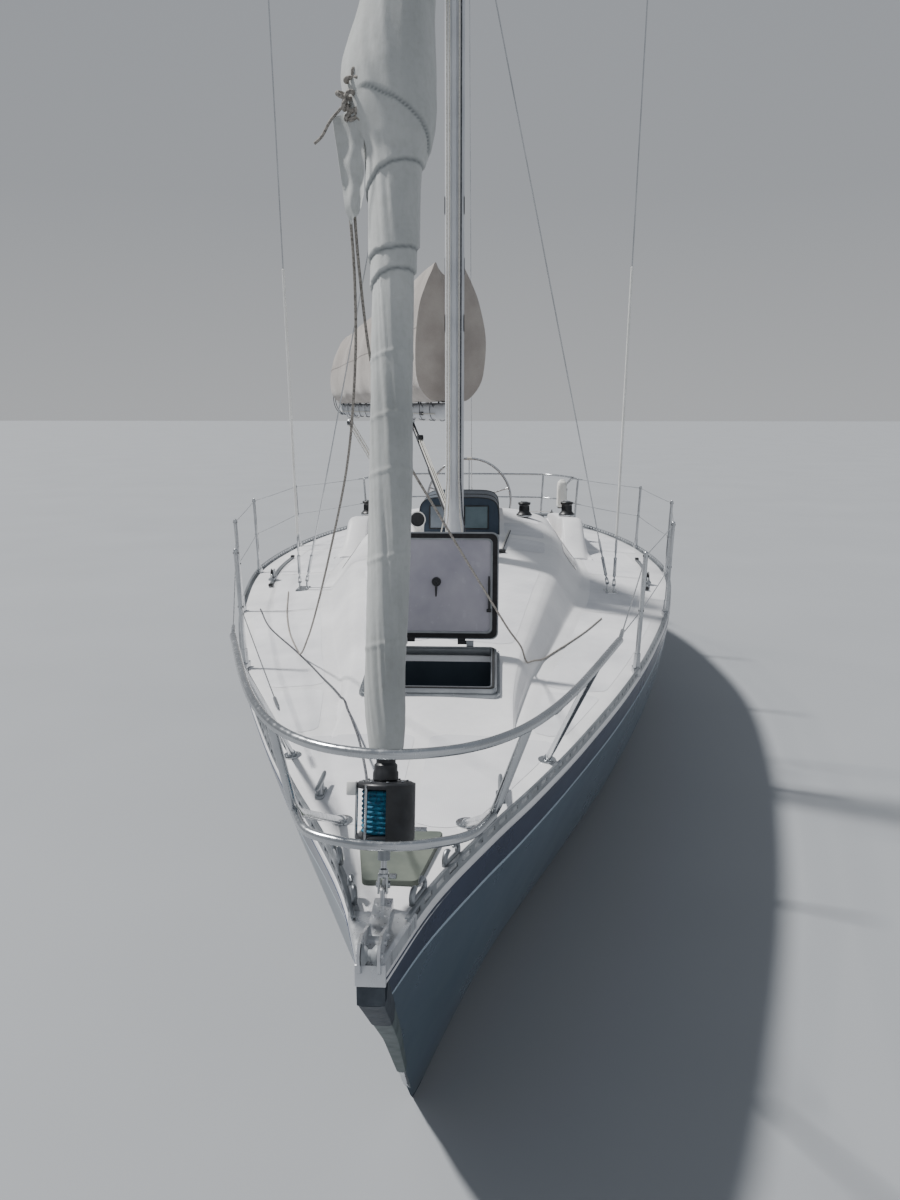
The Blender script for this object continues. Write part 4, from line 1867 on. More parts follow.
def make_boom():
    shape = Shape()
    turns = np.linspace(0.62 * math.pi, 2.38 * math.pi, 40)[:-1]
    outline = [(0.044 * math.cos(a), 0.062 * math.sin(a)) for a in turns]
    outline += [(0.007, 0.06), (0.007, 0.05), (-0.007, 0.05), (-0.007, 0.06)]
    shape.add(loft([[(x, y, z) for y, z in outline] for x in (0.07, 0.6, 1.5, 2.5, 3.5, 4.3)]))
    shape.add(box((4.298, -0.036, -0.062), (4.36, 0.036, 0.062), 0.008), 1)
    shape.add(rod((0, 0, -0.04), (0, 0, 0.04), 0.0235, 24), 2)
    shape.add(box((0.012, -0.021, -0.039), (0.082, 0.021, 0.039), 0.004), 2)
    vang_lug = [(1.18, -0.055), (1.186, -0.082), (1.234, -0.082), (1.24, -0.055)]
    shape.add(plate(vang_lug, -0.0078, 0.0078), 2)
    bail = [(-0.04, -0.03), (-0.03, -0.075), (0, -0.088), (0.03, -0.075), (0.04, -0.03)]
    for x in (3.55, 3.95):
        shape.add(tube(spline([(x, y, z) for y, z in bail], 20), 0.005, 10), 2)
    for side in SIDES:
        shape.add(tube([(0.35, side * 0.052, -0.02), (4.2, side * 0.05, -0.02)], 0.004, 8), 3)
        shape.add(box((0.7, side * 0.042, -0.034), (0.79, side * 0.056, -0.006), 0.003), 4)
        shape.add(pin((4.33, 0, 0.03), side * 0.012, side * 0.04, 0.006, 10), 2)
    return shape.piece("boom", [SPAR, ALUMINIUM, STAINLESS, WHITE_LINE, BLACK], "boom", ["boom"], "spar",
                       place=BOOM_PLACE)


def make_vang():
    shape = Shape()
    foot = MAST_FOOT - GOOSENECK.z
    low, head = Vector((0, 0, foot + 0.141)), Vector((1.205, 0, -0.106))
    along = (head - low).normalized()
    shape.add(rod((0, 0, foot + 0.065), (0, 0, foot + 0.14), 0.015, 18), 1)
    shape.add(rod((0, 0, foot + 0.075), (0, 0, foot + 0.10), 0.019, 18), 1)
    middle = mix(low, head, 0.55)
    sleeve = [low + along * 0.01, low + along * 0.04, low + along * 0.05, middle - along * 0.02, middle]
    shape.add(tube(sleeve, [0.018, 0.026, 0.0245, 0.0245, 0.021], 24))
    shape.add(tube([middle - along * 0.01, head - along * 0.05, head - along * 0.045, head], 0.0175, 20))
    for y in (-0.0122, 0.0122):
        shape.add(box((1.188, y - 0.0035, -0.114), (1.232, y + 0.0035, -0.072), 0.002), 1)
    shape.add(box((1.188, -0.0155, -0.116), (1.232, 0.0155, -0.094), 0.003), 1)
    up = Vector((0, 0, 0.042))
    for offset in (-0.014, 0.0, 0.014):
        shift = Vector((0, offset, 0))
        fall = [low + along * 0.11 + up + shift, mix(low, head, 0.8) + up * 0.9 + shift]
        shape.add(tube(fall, 0.0042, 8), 2)
    for share in (0.1, 0.8):
        centre = mix(low, head, share) + up
        shape.add(pin(centre, -0.022, 0.022, 0.024, 20))
        shape.add(tube([centre, centre - up * 0.6], 0.008, 10), 1)
    return shape.piece("boom_vang", [BLACK, STAINLESS, WHITE_LINE], "boom", ["boom_vang"], "black_fittings",
                       place=BOOM_PLACE)


def cover_section(along, points=40):
    """The cover's port half at a place along the boom, from the lacing up to the middle of the top."""
    columns = list(zip(*STOW))
    height, half = (hermite(columns[0], values, along) for values in columns[1:])
    base = 0.063
    # Shares of the half width and of the height.
    shares = ((0.50, 0.015), (0.76, 0.08), (0.94, 0.20), (1.0, 0.40), (0.95, 0.57), (0.83, 0.72),
              (0.65, 0.84), (0.47, 0.94), (0.37, 1.0), (0.29, 0.965), (0.16, 0.925), (0.0, 0.91))
    shape = [(0.055, base, 0)] + [(out * half, base + up * height, 0) for out, up in shares]
    return [(p.x, p.y) for p in spline(shape, points)]


def cover_point(along, side, index, y, z, points=40):
    """One point of the cloth, with the folds that hang from the top and gather at the lacing."""
    t = index / points
    gather = math.sin(2 * math.pi * along / 0.47 + side * 0.9) * (1 - smoothstep(0.0, 0.5, t))
    hang = math.sin(2 * math.pi * (along + 0.5 * z) / 0.83 + 1.7 * side) * math.sin(math.pi * t) ** 2
    rough = noise.noise(Vector((2.6 * along, 3.0 * side * y * 4, 3.2 * z)))
    out = 0.008 * gather + 0.011 * hang + 0.014 * rough * math.sin(math.pi * min(t * 1.3, 1.0))
    scallop = 0.012 * abs(math.sin(math.pi * along / 0.47)) * (1 - smoothstep(0.0, 0.08, t))
    sag = 0.018 * math.sin(math.pi * along / 0.62) ** 2 * smoothstep(0.7, 0.85, t)
    return Vector((along, side * max(y + out, 0.0 if t > 0.9 else 0.046), z - sag + scallop))


def declare_cloth(obj, width, length):
    """Declares a tailored cloth by its flat size and its own area."""
    area = min(sum(face.area for face in obj.data.polygons), width * length)
    return obj


def make_sail_cover():
    points, rings = 40, []
    for k in range(151):
        along = mix(STOW[0].along, STOW[-1].along, k / 150)
        section = cover_section(along, points)
        ring = [cover_point(along, 1, i, y, z) for i, (y, z) in enumerate(section)]
        other = [cover_point(along, -1, i, y, z) for i, (y, z) in enumerate(section)][-2::-1]
        rings.append(ring + other)
    shape = Shape().add(grid(rings))
    for ring, sign in ((rings[0], -1), (rings[-1], 1)):
        add_cover_end(shape, ring, sign)
    obj = shape.mesh("sail_cover", [COVER], 60)
    finish_piece(obj, "boom", ["sail_cover"], BOOM_PLACE)
    trim = Shape()
    for side in SIDES:
        seam = [rings[k][16 if side > 0 else -17] + Vector((0, side * 0.0015, 0)) for k in range(0, 151, 2)]
        trim.add(tube(seam, 0.0028, 6, 0.5))
    add_lacing(trim)
    lacing = trim.piece("cover_lacing", [COVER, WHITE_CLOTH, DARK_LINE], "boom", slot="cover_cloth",
                        place=BOOM_PLACE)
    width, length = cloth_size(rings)
    return declare_cloth(obj, width, length)


def add_cover_end(shape, ring, sign):
    """A gathered end to the cover: rows that close in on a middle line and bulge a little."""
    centre = sum(ring, Vector()) / len(ring)
    rows = [ring]
    for share, bulge in ((0.93, 0.010), (0.8, 0.019), (0.6, 0.026), (0.35, 0.030), (0.12, 0.031)):
        rows.append([Vector((p.x + sign * (bulge + 0.004 * math.sin(11 * p.z + 6 * p.y)),
                             centre.y + (p.y - centre.y) * share, mix(centre.z, p.z, share))) for p in ring])
    verts, faces = loft(rows, caps=False)
    last = (len(rows) - 1) * len(ring)
    faces.append([last + i for i in range(len(ring))])
    shape.add((verts, faces))


def add_lacing(shape):
    """Hooks along the cover's foot with a line that zigzags under the boom."""
    stops = []
    count = 26
    for k in range(count):
        along = mix(0.3, 4.05, k / (count - 1))
        side = 1 if k % 2 else -1
        stops.append((Vector((along, side * 0.052, 0.06)), side))
    points = []
    for stop, side in stops:
        points += [stop, Vector((stop.x + 0.03, side * 0.05, -0.03)), Vector((stop.x + 0.07, 0, -0.0685))]
    shape.add(tube(spline(points, 320), 0.003, 6), 2)
    for stop, _ in stops:
        shape.add(block(stop, (-0.012, -0.004, -0.012), (0.012, 0.004, 0.012), 0.002), 2)


def make_sail_end():
    """The sail's own cloth, flaked and lashed, where it comes out of the cover at the boom's end."""
    shape = Shape()
    for layer in range(4):
        low, width = 0.075 + 0.052 * layer, 0.115 - 0.014 * layer
        rings = []
        for k in range(15):
            t = k / 14
            along = mix(4.05, 4.335 - 0.03 * layer, t)
            close = math.sqrt(max(0.0, 1 - max(0.0, (t - 0.55) / 0.45) ** 2)) * 0.9 + 0.1
            ring = []
            for a in around(28):
                lump = (0.027 * math.sin(a) + 0.006 * math.sin(3 * a + 5 * t)) * close
                out = width * close * math.cos(a) + 0.008 * math.sin(7 * t + layer)
                ring.append(Vector((along, out, low + 0.026 + lump)))
            rings.append(ring)
        shape.add(loft(rings))
    for along in (4.15, 4.27):
        strap = [(along, 0.124 * math.cos(a), 0.12 + 0.178 * math.sin(a))
                 for a in np.linspace(0, 2 * math.pi, 37)]
        shape.add(tube(strap, 0.004, 6), 1)
    return shape.piece("stowed_sail_end", [WHITE_CLOTH, DARK_LINE], "boom", slot="sailcloth",
                       place=BOOM_PLACE)


make_boom()
make_vang()
make_sail_cover()
make_sail_end()


# Companionway, with its canvas hood, sliding hatch and washboards

HOOD_TOP = 1.775


def hood_ring(x, lean, grow=0.0, count=41):
    """One arch of the hood from its port foot over to its starboard foot; lean moves its top along X."""
    points = []
    for k in range(count):
        a = math.pi * k / (count - 1)
        c, s = math.cos(a), math.sin(a)
        y = (0.322 + grow) * math.copysign(abs(c) ** 0.34, c)
        base = surface_z(x, 0.3) - 0.002
        height = HOOD_TOP + grow - base - 0.006 * math.sin(math.pi * (x + 0.36) / 0.26) ** 2
        rise = abs(s) ** 0.34
        points.append(Vector((x + lean * rise, y, base + height * rise)))
    return points


def make_hood():
    """The hood's cloth, over two hoops, and its binding, windows and studs as a piece of their own."""
    stops = [mix(-0.362, -1.122, k / 30) for k in range(31)]
    lean = lambda x: mix(-0.05, 0.02, (x + 0.362) / -0.76)
    outer = [hood_ring(x, lean(x)) for x in stops]
    cloth = Shape().add(grid(outer))
    shape = Shape()
    front = []
    for v in range(15):
        share = v / 14
        row = []
        for k, p in enumerate(outer[0]):
            swell = 0.014 * math.sin(math.pi * share) * math.sin(math.pi * k / 40)
            row.append(Vector((mix(-0.362, p.x, share) + swell, p.y, mix(outer[0][0].z, p.z, share))))
        front.append(row)
    cloth.add(grid(front))
    for row in (outer[0], outer[-1], outer[15]):
        shape.add(tube([p + (p - Vector((p.x, 0, 1.6))).normalized() * 0.001 for p in row], 0.0045, 8), 1)
    for side in SIDES:
        edge = [row[0 if side > 0 else -1] + Vector((0, side * 0.002, 0.012)) for row in outer]
        shape.add(tube(edge, 0.004, 8), 1)
        for k in range(2, 30, 4):
            stud = outer[k][0 if side > 0 else -1] + Vector((0, side * 0.003, 0.03))
            shape.add(ball(stud, 0.006, 5, 10), 2)
    for y0, y1, mark in ((-0.235, -0.045, 3), (0.045, 0.235, 4)):
        pane = [[front_place(front, mix(y0, y1, j / 8), mix(1.53, 1.71, v / 6)) for j in range(9)]
                for v in range(7)]
        shape.add(grid(pane), mark)
        shape.add(grid_rim(pane, 0.006), 1)
    for x in (-0.385, -1.1):
        shape.add(tube(hood_ring(x, lean(x), -0.007), 0.005, 10), 5)
    trim = shape.piece("hood_trim", [NAVY_CLOTH, BLACK, WHITE_PLASTIC, VINYL, TEAL_CLOTH, STAINLESS],
                       slot="navy_cover")
    obj = cloth.mesh("companionway_hood", [NAVY_CLOTH], 50)
    finish_piece(obj, replaces=["companionway_hood"])
    width, length = cloth_size(outer)
    return declare_cloth(obj, width, length + 0.36)


def front_place(front, y, z):
    """A place just ahead of the hood's front panel."""
    middle = [row[20] for row in front]
    x = float(np.interp(z, [p.z for p in middle], [p.x for p in middle]))
    return Vector((x + 0.003 - 0.02 * abs(y) ** 2, y, z))


def make_slide():
    shape = Shape()
    rings = []
    for x, drop in ((-1.10, 0.004), (-1.106, 0.0), (-1.30, 0.0), (-1.55, 0.0), (-1.80, 0.0), (-1.984, 0.0),
                    (-1.99, 0.004)):
        ys = [mix(-0.3045, 0.3045, k / 24) for k in range(25)]
        top = [(x, y, 1.578 - drop + 0.0195 * (1 - (y / 0.3057) ** 2)) for y in ys]
        under = [(x, y, 1.559 + drop + 0.011 * (1 - (y / 0.3057) ** 2)) for y in ys[::-1]]
        rings.append(top + under)
    shape.add(loft(rings))
    panel = [[Vector((mix(-1.20, -1.83, k / 8), y, 1.5795 + 0.0195 * (1 - (y / 0.3057) ** 2)))
              for y in (mix(-0.235, 0.235, j / 16) for j in range(17))] for k in range(9)]
    shape.add(grid(panel), 1)
    shape.add(grid_rim(panel, 0.0035), 2)
    handle = [(-0.058, 1.594), (-0.05, 1.612), (0, 1.6145), (0.05, 1.612), (0.058, 1.594)]
    shape.add(tube(spline([(-1.977, y, z) for y, z in handle], 20), 0.0065, 12), 3)
    return shape.piece("companionway_slide", [GELCOAT, DARK_GLASS, BLACK, STAINLESS], "companion_slide",
                       ["companionway_slide"], "gelcoat", angle=35)


def make_runners():
    for side in SIDES:
        shape = Shape()
        rings = []
        for k in range(25):
            x = mix(-1.133, -1.945, k / 24)
            low = surface_z(x, 0.318) - 0.002
            inner, outer = side * 0.3066, side * 0.3295
            rings.append([(x, inner, low), (x, inner, 1.583), (x, inner + side * 0.005, 1.5875),
                          (x, outer - side * 0.006, 1.5875), (x, outer, 1.581), (x, outer, low)])
        shape.add(loft(rings))
        for k in range(5):
            shape.add(ball((mix(-1.2, -1.88, k / 4), side * 0.318, 1.5872), 0.006, 4, 10, 0.25), 1)
        name = f"slide_runner_{SIDE_NAMES[side]}"
        shape.piece(name, [TEAK, BRONZE], replaces=[name], slot="teak")


def make_washboards():
    shape = Shape()
    for low, high in ((1.138, 1.270), (1.272, 1.405), (1.407, 1.549)):
        shape.add(box((-1.9405, -0.2865, low), (-1.9215, 0.2865, high), 0.0035))
    for k in range(5):
        z = 1.44 + 0.018 * k
        shape.add(box((-1.9425, -0.11, z), (-1.9385, 0.11, z + 0.009), 0.0018), 1)
    for y in (-0.116, 0.113):
        shape.add(box((-1.9425, y, 1.432), (-1.939, y + 0.004, 1.53), 0.001), 1)
    shape.add(lathe([(0.013, 0), (0.013, 0.002), (0.009, 0.003)], 18), 1,
              Matrix.Translation((-1.9405, 0.0, 1.338)) @ Matrix.Rotation(-math.pi / 2, 4, "Y"))
    return shape.piece("washboards", [BOARD_TEAK, BRONZE], replaces=["washboards"], slot="teak")


def make_ventilator():
    x, y = 0.08, -0.29
    base = roof_z(x)
    shape = Shape()
    foot = [(0.075, -0.03), (0.075, 0.008), (0.07, 0.017), (0.05, 0.02), (0.046, 0.026), (0.0425, 0.03)]
    shape.add(shifted(lathe(foot, 32), (x, y, base)))
    stops = ((0, 0.02), (0, 0.08), (0.002, 0.13), (0.026, 0.17), (0.06, 0.186), (0.093, 0.19))
    bend = spline([(x + u, y, base + w) for u, w in stops], 28)
    radii = [mix(0.0415, 0.058, smoothstep(8, 28, k)) for k in range(29)]
    shape.add(tube(bend, radii, 32, caps=False))
    mouth = Matrix.Translation(bend[-1]) @ Matrix.Rotation(math.pi / 2 - 0.06, 4, "Y")
    shape.add(frame_ring(circle(0.061, 36), circle(0.053, 36), -0.006, 0.004, 0.0015), 0, mouth)
    shape.add(lathe([(0.0545, -0.012), (0.0535, -0.01), (0.02, -0.016), (0.002, -0.018)], 28), 1, mouth)
    for k in range(6):
        a = 2 * math.pi * k / 6 + 0.3
        shape.add(ball((x + 0.06 * math.cos(a), y + 0.06 * math.sin(a), base + 0.018), 0.004, 4, 8, 0.5), 2)
    return shape.piece("ventilator", [WHITE_PLASTIC, BLACK, STAINLESS], replaces=["ventilator"],
                       slot="white_plastic")


def make_windows():
    """Two small dark windows on each side of the coachroof."""
    shape = Shape()
    rise = lambda x: roof_z(x) - deck_z(x, roof_row(x)[0])
    for side in SIDES:
        for fore, back in ((-0.28, -0.86), (-0.98, -1.62)):
            for grow, lift, mark in ((0.0, 0.0022, 0), (-0.012, 0.0042, 1)):
                near = lambda x: side * (roof_row(x)[0] - (0.40 - grow) * rise(x))
                far = lambda x: side * (roof_row(x)[0] - (0.10 + grow) * rise(x))
                low, high = (far, near) if side < 0 else (near, far)
                shape.add(deck_patch(fore + grow, back - grow, low, high, lift, 30, 8, 0.045), mark)
    return shape.piece("roof_windows", [BLACK, DARK_GLASS], slot="smoked_acrylic")


make_hood()
make_slide()
make_runners()
make_washboards()
make_ventilator()
make_windows()


# Sheet leads, winches and the mainsheet

def node_box(name):
    """The world corners of a frame node."""
    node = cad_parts[name]
    corners = [node.matrix_world @ Vector(c) for c in node.bound_box]
    return (Vector([min(c[i] for c in corners) for i in range(3)]),
            Vector([max(c[i] for c in corners) for i in range(3)]))


def swept(section, places):
    """A section of (across, up) pairs carried along places, across being along Y."""
    return loft([[p + Vector((0, v, w)) for v, w in section] for p in places])


def make_tracks():
    half = ((0.0155, -0.004), (0.0155, 0.004), (0.006, 0.005), (0.006, 0.009), (0.0135, 0.01),
            (0.0135, 0.0155))
    section = [(-v, w) for v, w in half] + [(v, w) for v, w in half[::-1]]
    for side in SIDES:
        shape = Shape()
        place = lambda x: Vector((x, side * (station(BOW_X - x).half - 0.19),
                                  deck_z(x, station(BOW_X - x).half - 0.19)))
        shape.add(swept(section, [place(mix(0.06, -1.5, k / 40)) for k in range(41)]))
        for k in range(30):
            shape.add(ball(place(mix(0.02, -1.46, k / 29)) + Vector((0, 0, 0.0155)), 0.0048, 4, 8, 0.25), 1)
        for x in (0.045, -1.485):
            shape.add(block(place(x), (-0.02, -0.017, 0.008), (0.02, 0.017, 0.03), 0.005), 1)
        car = place(-0.25)
        shape.add(block(car, (-0.068, -0.023, 0.010), (0.068, 0.023, 0.032), 0.006), 0)
        shape.add(rod(car + Vector((0.045, 0, 0.03)), car + Vector((0.045, 0, 0.052)), 0.0055, 10), 2)
        shape.add(ball(car + Vector((0.045, 0, 0.054)), 0.009, 6, 12), 2)
        axle = car + Vector((0, 0, 0.064))
        for v in (-0.0125, 0.0095):
            shape.add(pin(axle, v, v + 0.003, 0.0365, 28), 3)
        groove = [(0.012, -0.0095), (0.032, -0.0095), (0.026, -0.002), (0.026, 0.002), (0.032, 0.0095),
                  (0.012, 0.0095)]
        shape.add(lathe(groove, 28), 1, Matrix.Translation(axle) @ Matrix.Rotation(math.pi / 2, 4, "X"))
        shape.add(pin(axle, -0.0145, 0.0145, 0.007, 14), 2)
        shape.add(tube([axle - Vector((0, 0, 0.036)), axle - Vector((0, 0, 0.02))], 0.010, 12), 2)
        name = f"genoa_track_{SIDE_NAMES[side]}"
        shape.piece(name, [ALUMINIUM, BLACK, STAINLESS, GREY_PLASTIC], replaces=[name], slot="aluminium")


WINCH_FORM = ((0.071, 0.0), (0.072, 0.003), (0.072, 0.018), (0.069, 0.022), (0.062, 0.026), (0.058, 0.033),
              (0.0505, 0.042), (0.0465, 0.054), (0.0455, 0.066), (0.0455, 0.092), (0.0475, 0.1), (0.053, 0.107),
              (0.0565, 0.1095), (0.058, 0.1115), (0.058, 0.1145), (0.050, 0.1155), (0.0475, 0.1165),
              (0.050, 0.1178), (0.058, 0.119), (0.058, 0.1235), (0.055, 0.127), (0.034, 0.1285),
              (0.032, 0.1325), (0.028, 0.134), (0.0115, 0.134), (0.0105, 0.1325), (0.0105, 0.124))


def make_winch(name, x, y, size):
    shape = Shape()
    shape.add(lathe(WINCH_FORM, 44))
    shape.add(lathe([(0.0722, 0.003), (0.0735, 0.005), (0.0735, 0.012), (0.0722, 0.014)], 44), 1)
    for k in range(24):
        a = 2 * math.pi * k / 24
        shape.add(tube([(0.0475 * math.cos(a), 0.0475 * math.sin(a), 0.05),
                        (0.0462 * math.cos(a + 0.12), 0.0462 * math.sin(a + 0.12), 0.094)], 0.0018, 6))
    turn = math.radians(205)
    arm = [(r * math.cos(turn), r * math.sin(turn), z)
           for r, z in ((0.036, 0.129), (0.056, 0.131), (0.0625, 0.121), (0.0625, 0.104))]
    shape.add(tube(spline(arm, 12), 0.005, 10), 1)
    shape.add(lathe([(0.0275, 0.1335), (0.0265, 0.1352), (0.0125, 0.1352), (0.012, 0.133)], 30), 1)
    high = node_box(name)[1]
    place = Matrix.Translation((x, y, high.z - 0.134 * size)) @ Matrix.Scale(size, 4)
    return shape.piece(name, [BLACK, STAINLESS], replaces=[name], slot="black_fittings", place=place)


TRAVELLER_X = -4.48


def make_traveller():
    shape = Shape()
    section = [(-0.024, 1.160), (0.024, 1.160), (0.024, 1.1655), (0.009, 1.169), (0.009, 1.177),
               (0.022, 1.180), (0.024, 1.184), (0.021, 1.190), (-0.021, 1.190), (-0.024, 1.184),
               (-0.022, 1.180), (-0.009, 1.177), (-0.009, 1.169), (-0.024, 1.1655)]
    shape.add(plate(section, -1.02, 1.02, (TRAVELLER_X, 0, 0)))
    for y in (-0.88, 0.0, 0.88):
        low = deck_z(TRAVELLER_X, y) - 0.004
        foot = [[(TRAVELLER_X + grow * u, y + grow * v, z) for u, v in rounded_outline(0.04, 0.04, 0.012)]
                for grow, z in ((1.0, low), (1.0, low + 0.006), (0.78, low + 0.02), (0.62, 1.162))]
        shape.add(loft(foot))
        for u in (-0.03, 0.03):
            for v in (-0.03, 0.03):
                shape.add(ball((TRAVELLER_X + u, y + v, low + 0.0075), 0.0045, 4, 8, 0.6), 1)
    for side in SIDES:
        end = Vector((TRAVELLER_X, side * 1.0, 1.19))
        shape.add(block(end, (-0.028, -0.02, -0.008), (0.028, 0.02, 0.022), 0.006), 2)
        shape.add(pin(end + Vector((0, 0, 0.034)), -0.005, 0.005, 0.017, 18), 2)
    shape.add(box((TRAVELLER_X - 0.048, -0.958, 1.1905), (TRAVELLER_X + 0.048, -0.842, 1.217), 0.008), 2)
    for y in (-0.94, -0.86):
        shape.add(rod((TRAVELLER_X - 0.06, y, 1.203), (TRAVELLER_X + 0.06, y, 1.203), 0.013, 16), 2)
    line_x = TRAVELLER_X + 0.012
    for y, sign in ((-0.955, -1), (-0.845, 1)):
        shape.add(tube([(line_x, y, 1.206), (line_x, sign * 0.98, 1.214)], 0.0035, 8), 3)
    bail = ((-0.018, 1.213), (-0.016, 1.238), (0, 1.247), (0.016, 1.238), (0.018, 1.213))
    shape.add(tube(spline([(TRAVELLER_X + u, -0.9, z) for u, z in bail], 20), 0.0045, 10), 1)
    return shape.piece("mainsheet_traveller", [ALUMINIUM, STAINLESS, BLACK, WHITE_LINE],
                       replaces=["mainsheet_traveller"], slot="aluminium")


def make_mainsheet():
    """A four-part tackle from the traveller's car to the boom; its middle follows both."""
    low = Vector((TRAVELLER_X, -0.9, 1.29))
    high = BOOM_PLACE @ Vector((3.95, 0, -0.145))
    along = (high - low).normalized()
    across = along.cross(Vector((0, 0, 1))).normalized()
    face = along.cross(across)
    shape = Shape()
    for centre, sign in ((low, 1), (high, -1)):
        for offset in (-0.013, 0.013):
            for edge in (-0.0115, 0.0115):
                start = centre + across * (offset + edge - 0.0015)
                shape.add(rod(start, start + across * 0.003, 0.030, 20))
            start = centre + across * (offset - 0.008)
            shape.add(rod(start, start + across * 0.016, 0.023, 20), 1)
        shape.add(rod(centre - across * 0.027, centre + across * 0.027, 0.006, 12), 2)
        shape.add(tube([centre - along * sign * 0.026, centre - along * sign * 0.05], [0.012, 0.009], 12), 2)
    for offset, reach in ((-0.013, 0.0235), (-0.013, -0.0235), (0.013, 0.0235), (0.013, -0.0235)):
        shift = across * offset + face * reach
        points = [mix(low, high, k / 16) + shift for k in range(17)]
        shape.add(tube(points, 0.005, 10), 3)
    seat = Vector((-4.16, -0.72, 0.806))
    tail = [low + face * 0.0235 - across * 0.02, low + Vector((0.16, 0.03, 0.02)),
            low + Vector((0.32, 0.1, -0.08)), seat + Vector((0.0, 0.0, 0.2)), seat,
            seat + Vector((0.1, 0.12, 0)), seat + Vector((0.03, 0.2, 0)), seat + Vector((-0.06, 0.1, 0.004))]
    shape.add(tube(spline(tail, 90), 0.005, 10), 3)
    obj = shape.mesh("mainsheet", [GREY_PLASTIC, BLACK, STAINLESS, WHITE_LINE])
    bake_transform(obj)
    return obj


make_tracks()
make_winch("winch_primary_port", -2.75, 1.048, 1.15)
make_winch("winch_primary_starboard", -2.75, -1.048, 1.15)
make_winch("winch_roof_port", -1.48, 0.56, 1.0)
make_winch("winch_roof_starboard", -1.48, -0.56, 1.0)
make_traveller()
make_mainsheet()


# Cockpit and steering

def make_cockpit():
    obj = Shape().add(box((-4.349, -0.95, 0.3303), (-1.951, 0.95, 1.149))).mesh("cockpit_tub", [GELCOAT])
    spaces = [box((-4.324, -0.925, 0.79), (-1.976, 0.925, 1.3), 0.028, 3),
              box((-4.05, -0.39, 0.39), (-1.976, 0.39, 1.3), 0.03, 3)]
    for side in SIDES:
        y0, y1 = sorted((side * 0.47, side * 0.86))
        spaces.append(box((-3.05, y0, 0.53), (-2.25, y1, 0.9), 0.015, 2))
    for space in spaces:
        cut(obj, Shape().add(space))
    obj.data.set_sharp_from_angle(angle=math.radians(35))
    return finish_piece(obj, replaces=["cockpit"])


def slats(shape, low, high, top, along_x=True, width=0.048, gap=0.006, thick=0.009):
    """Teak strips that fill a rectangle between two corners in x and y."""
    span = high[1] - low[1] if along_x else high[0] - low[0]
    count = max(1, round(span / (width + gap)))
    step = span / count
    for k in range(count):
        if along_x:
            corners = (low[0], low[1] + step * k + gap / 2), (high[0], low[1] + step * (k + 1) - gap / 2)
        else:
            corners = (low[0] + step * k + gap / 2, low[1]), (low[0] + step * (k + 1) - gap / 2, high[1])
        shape.add(box((*corners[0], top - thick), (*corners[1], top), 0.0022))


def make_cockpit_teak():
    shape = Shape()
    for side in SIDES:
        for x0, x1 in ((-2.22, -1.99), (-4.03, -3.09)):
            y0, y1 = sorted((side * 0.41, side * 0.875))
            slats(shape, (x0, y0), (x1, y1), 0.802)
    slats(shape, (-4.3, -0.88), (-4.065, 0.88), 0.802, along_x=False)
    for x0, x1 in ((-3.02, -2.02), (-4.0, -3.58)):
        slats(shape, (x0, -0.35), (x1, 0.35), 0.41, thick=0.019)
    for x in (-2.9, -2.5, -2.15, -3.7, -3.9):
        shape.add(box((x - 0.02, -0.35, 0.3905), (x + 0.02, 0.35, 0.4), 0.002))
    return shape.piece("cockpit_teak", [TEAK], slot="teak")


def make_locker_lids():
    for side in SIDES:
        name = f"seat_locker_lid_{SIDE_NAMES[side]}"
        shape = Shape()
        y0, y1 = sorted((side * 0.4505, side * 0.8775))
        shape.add(box((-3.0695, y0, 0.7905), (-2.2305, y1, 0.806), 0.004), 1)
        y0, y1 = sorted((side * 0.478, side * 0.85))
        slats(shape, (-3.04, y0), (-2.26, y1), 0.8142)
        for x in (-2.42, -2.88):
            y0, y1 = sorted((side * 0.853, side * 0.8765))
            shape.add(box((x - 0.03, y0, 0.805), (x + 0.03, y1, 0.8105), 0.0015), 2)
        ring = [(-2.65 + 0.013 * math.cos(a), side * 0.464 + 0.008 * math.sin(a), 0.8065)
                for a in np.linspace(0, 2 * math.pi, 21)]
        shape.add(tube(ring, 0.0022, 8, caps=False), 2)
        obj = shape.mesh(name, [TEAK, GELCOAT, STAINLESS])
        finish_piece(obj, f"locker_lid_{SIDE_NAMES[side]}", [name])


PEDESTAL_X, GUARD_X = -3.27, -3.15
WHEEL_X, WHEEL_Z, WHEEL_RADIUS = -3.44, 1.45, 0.47


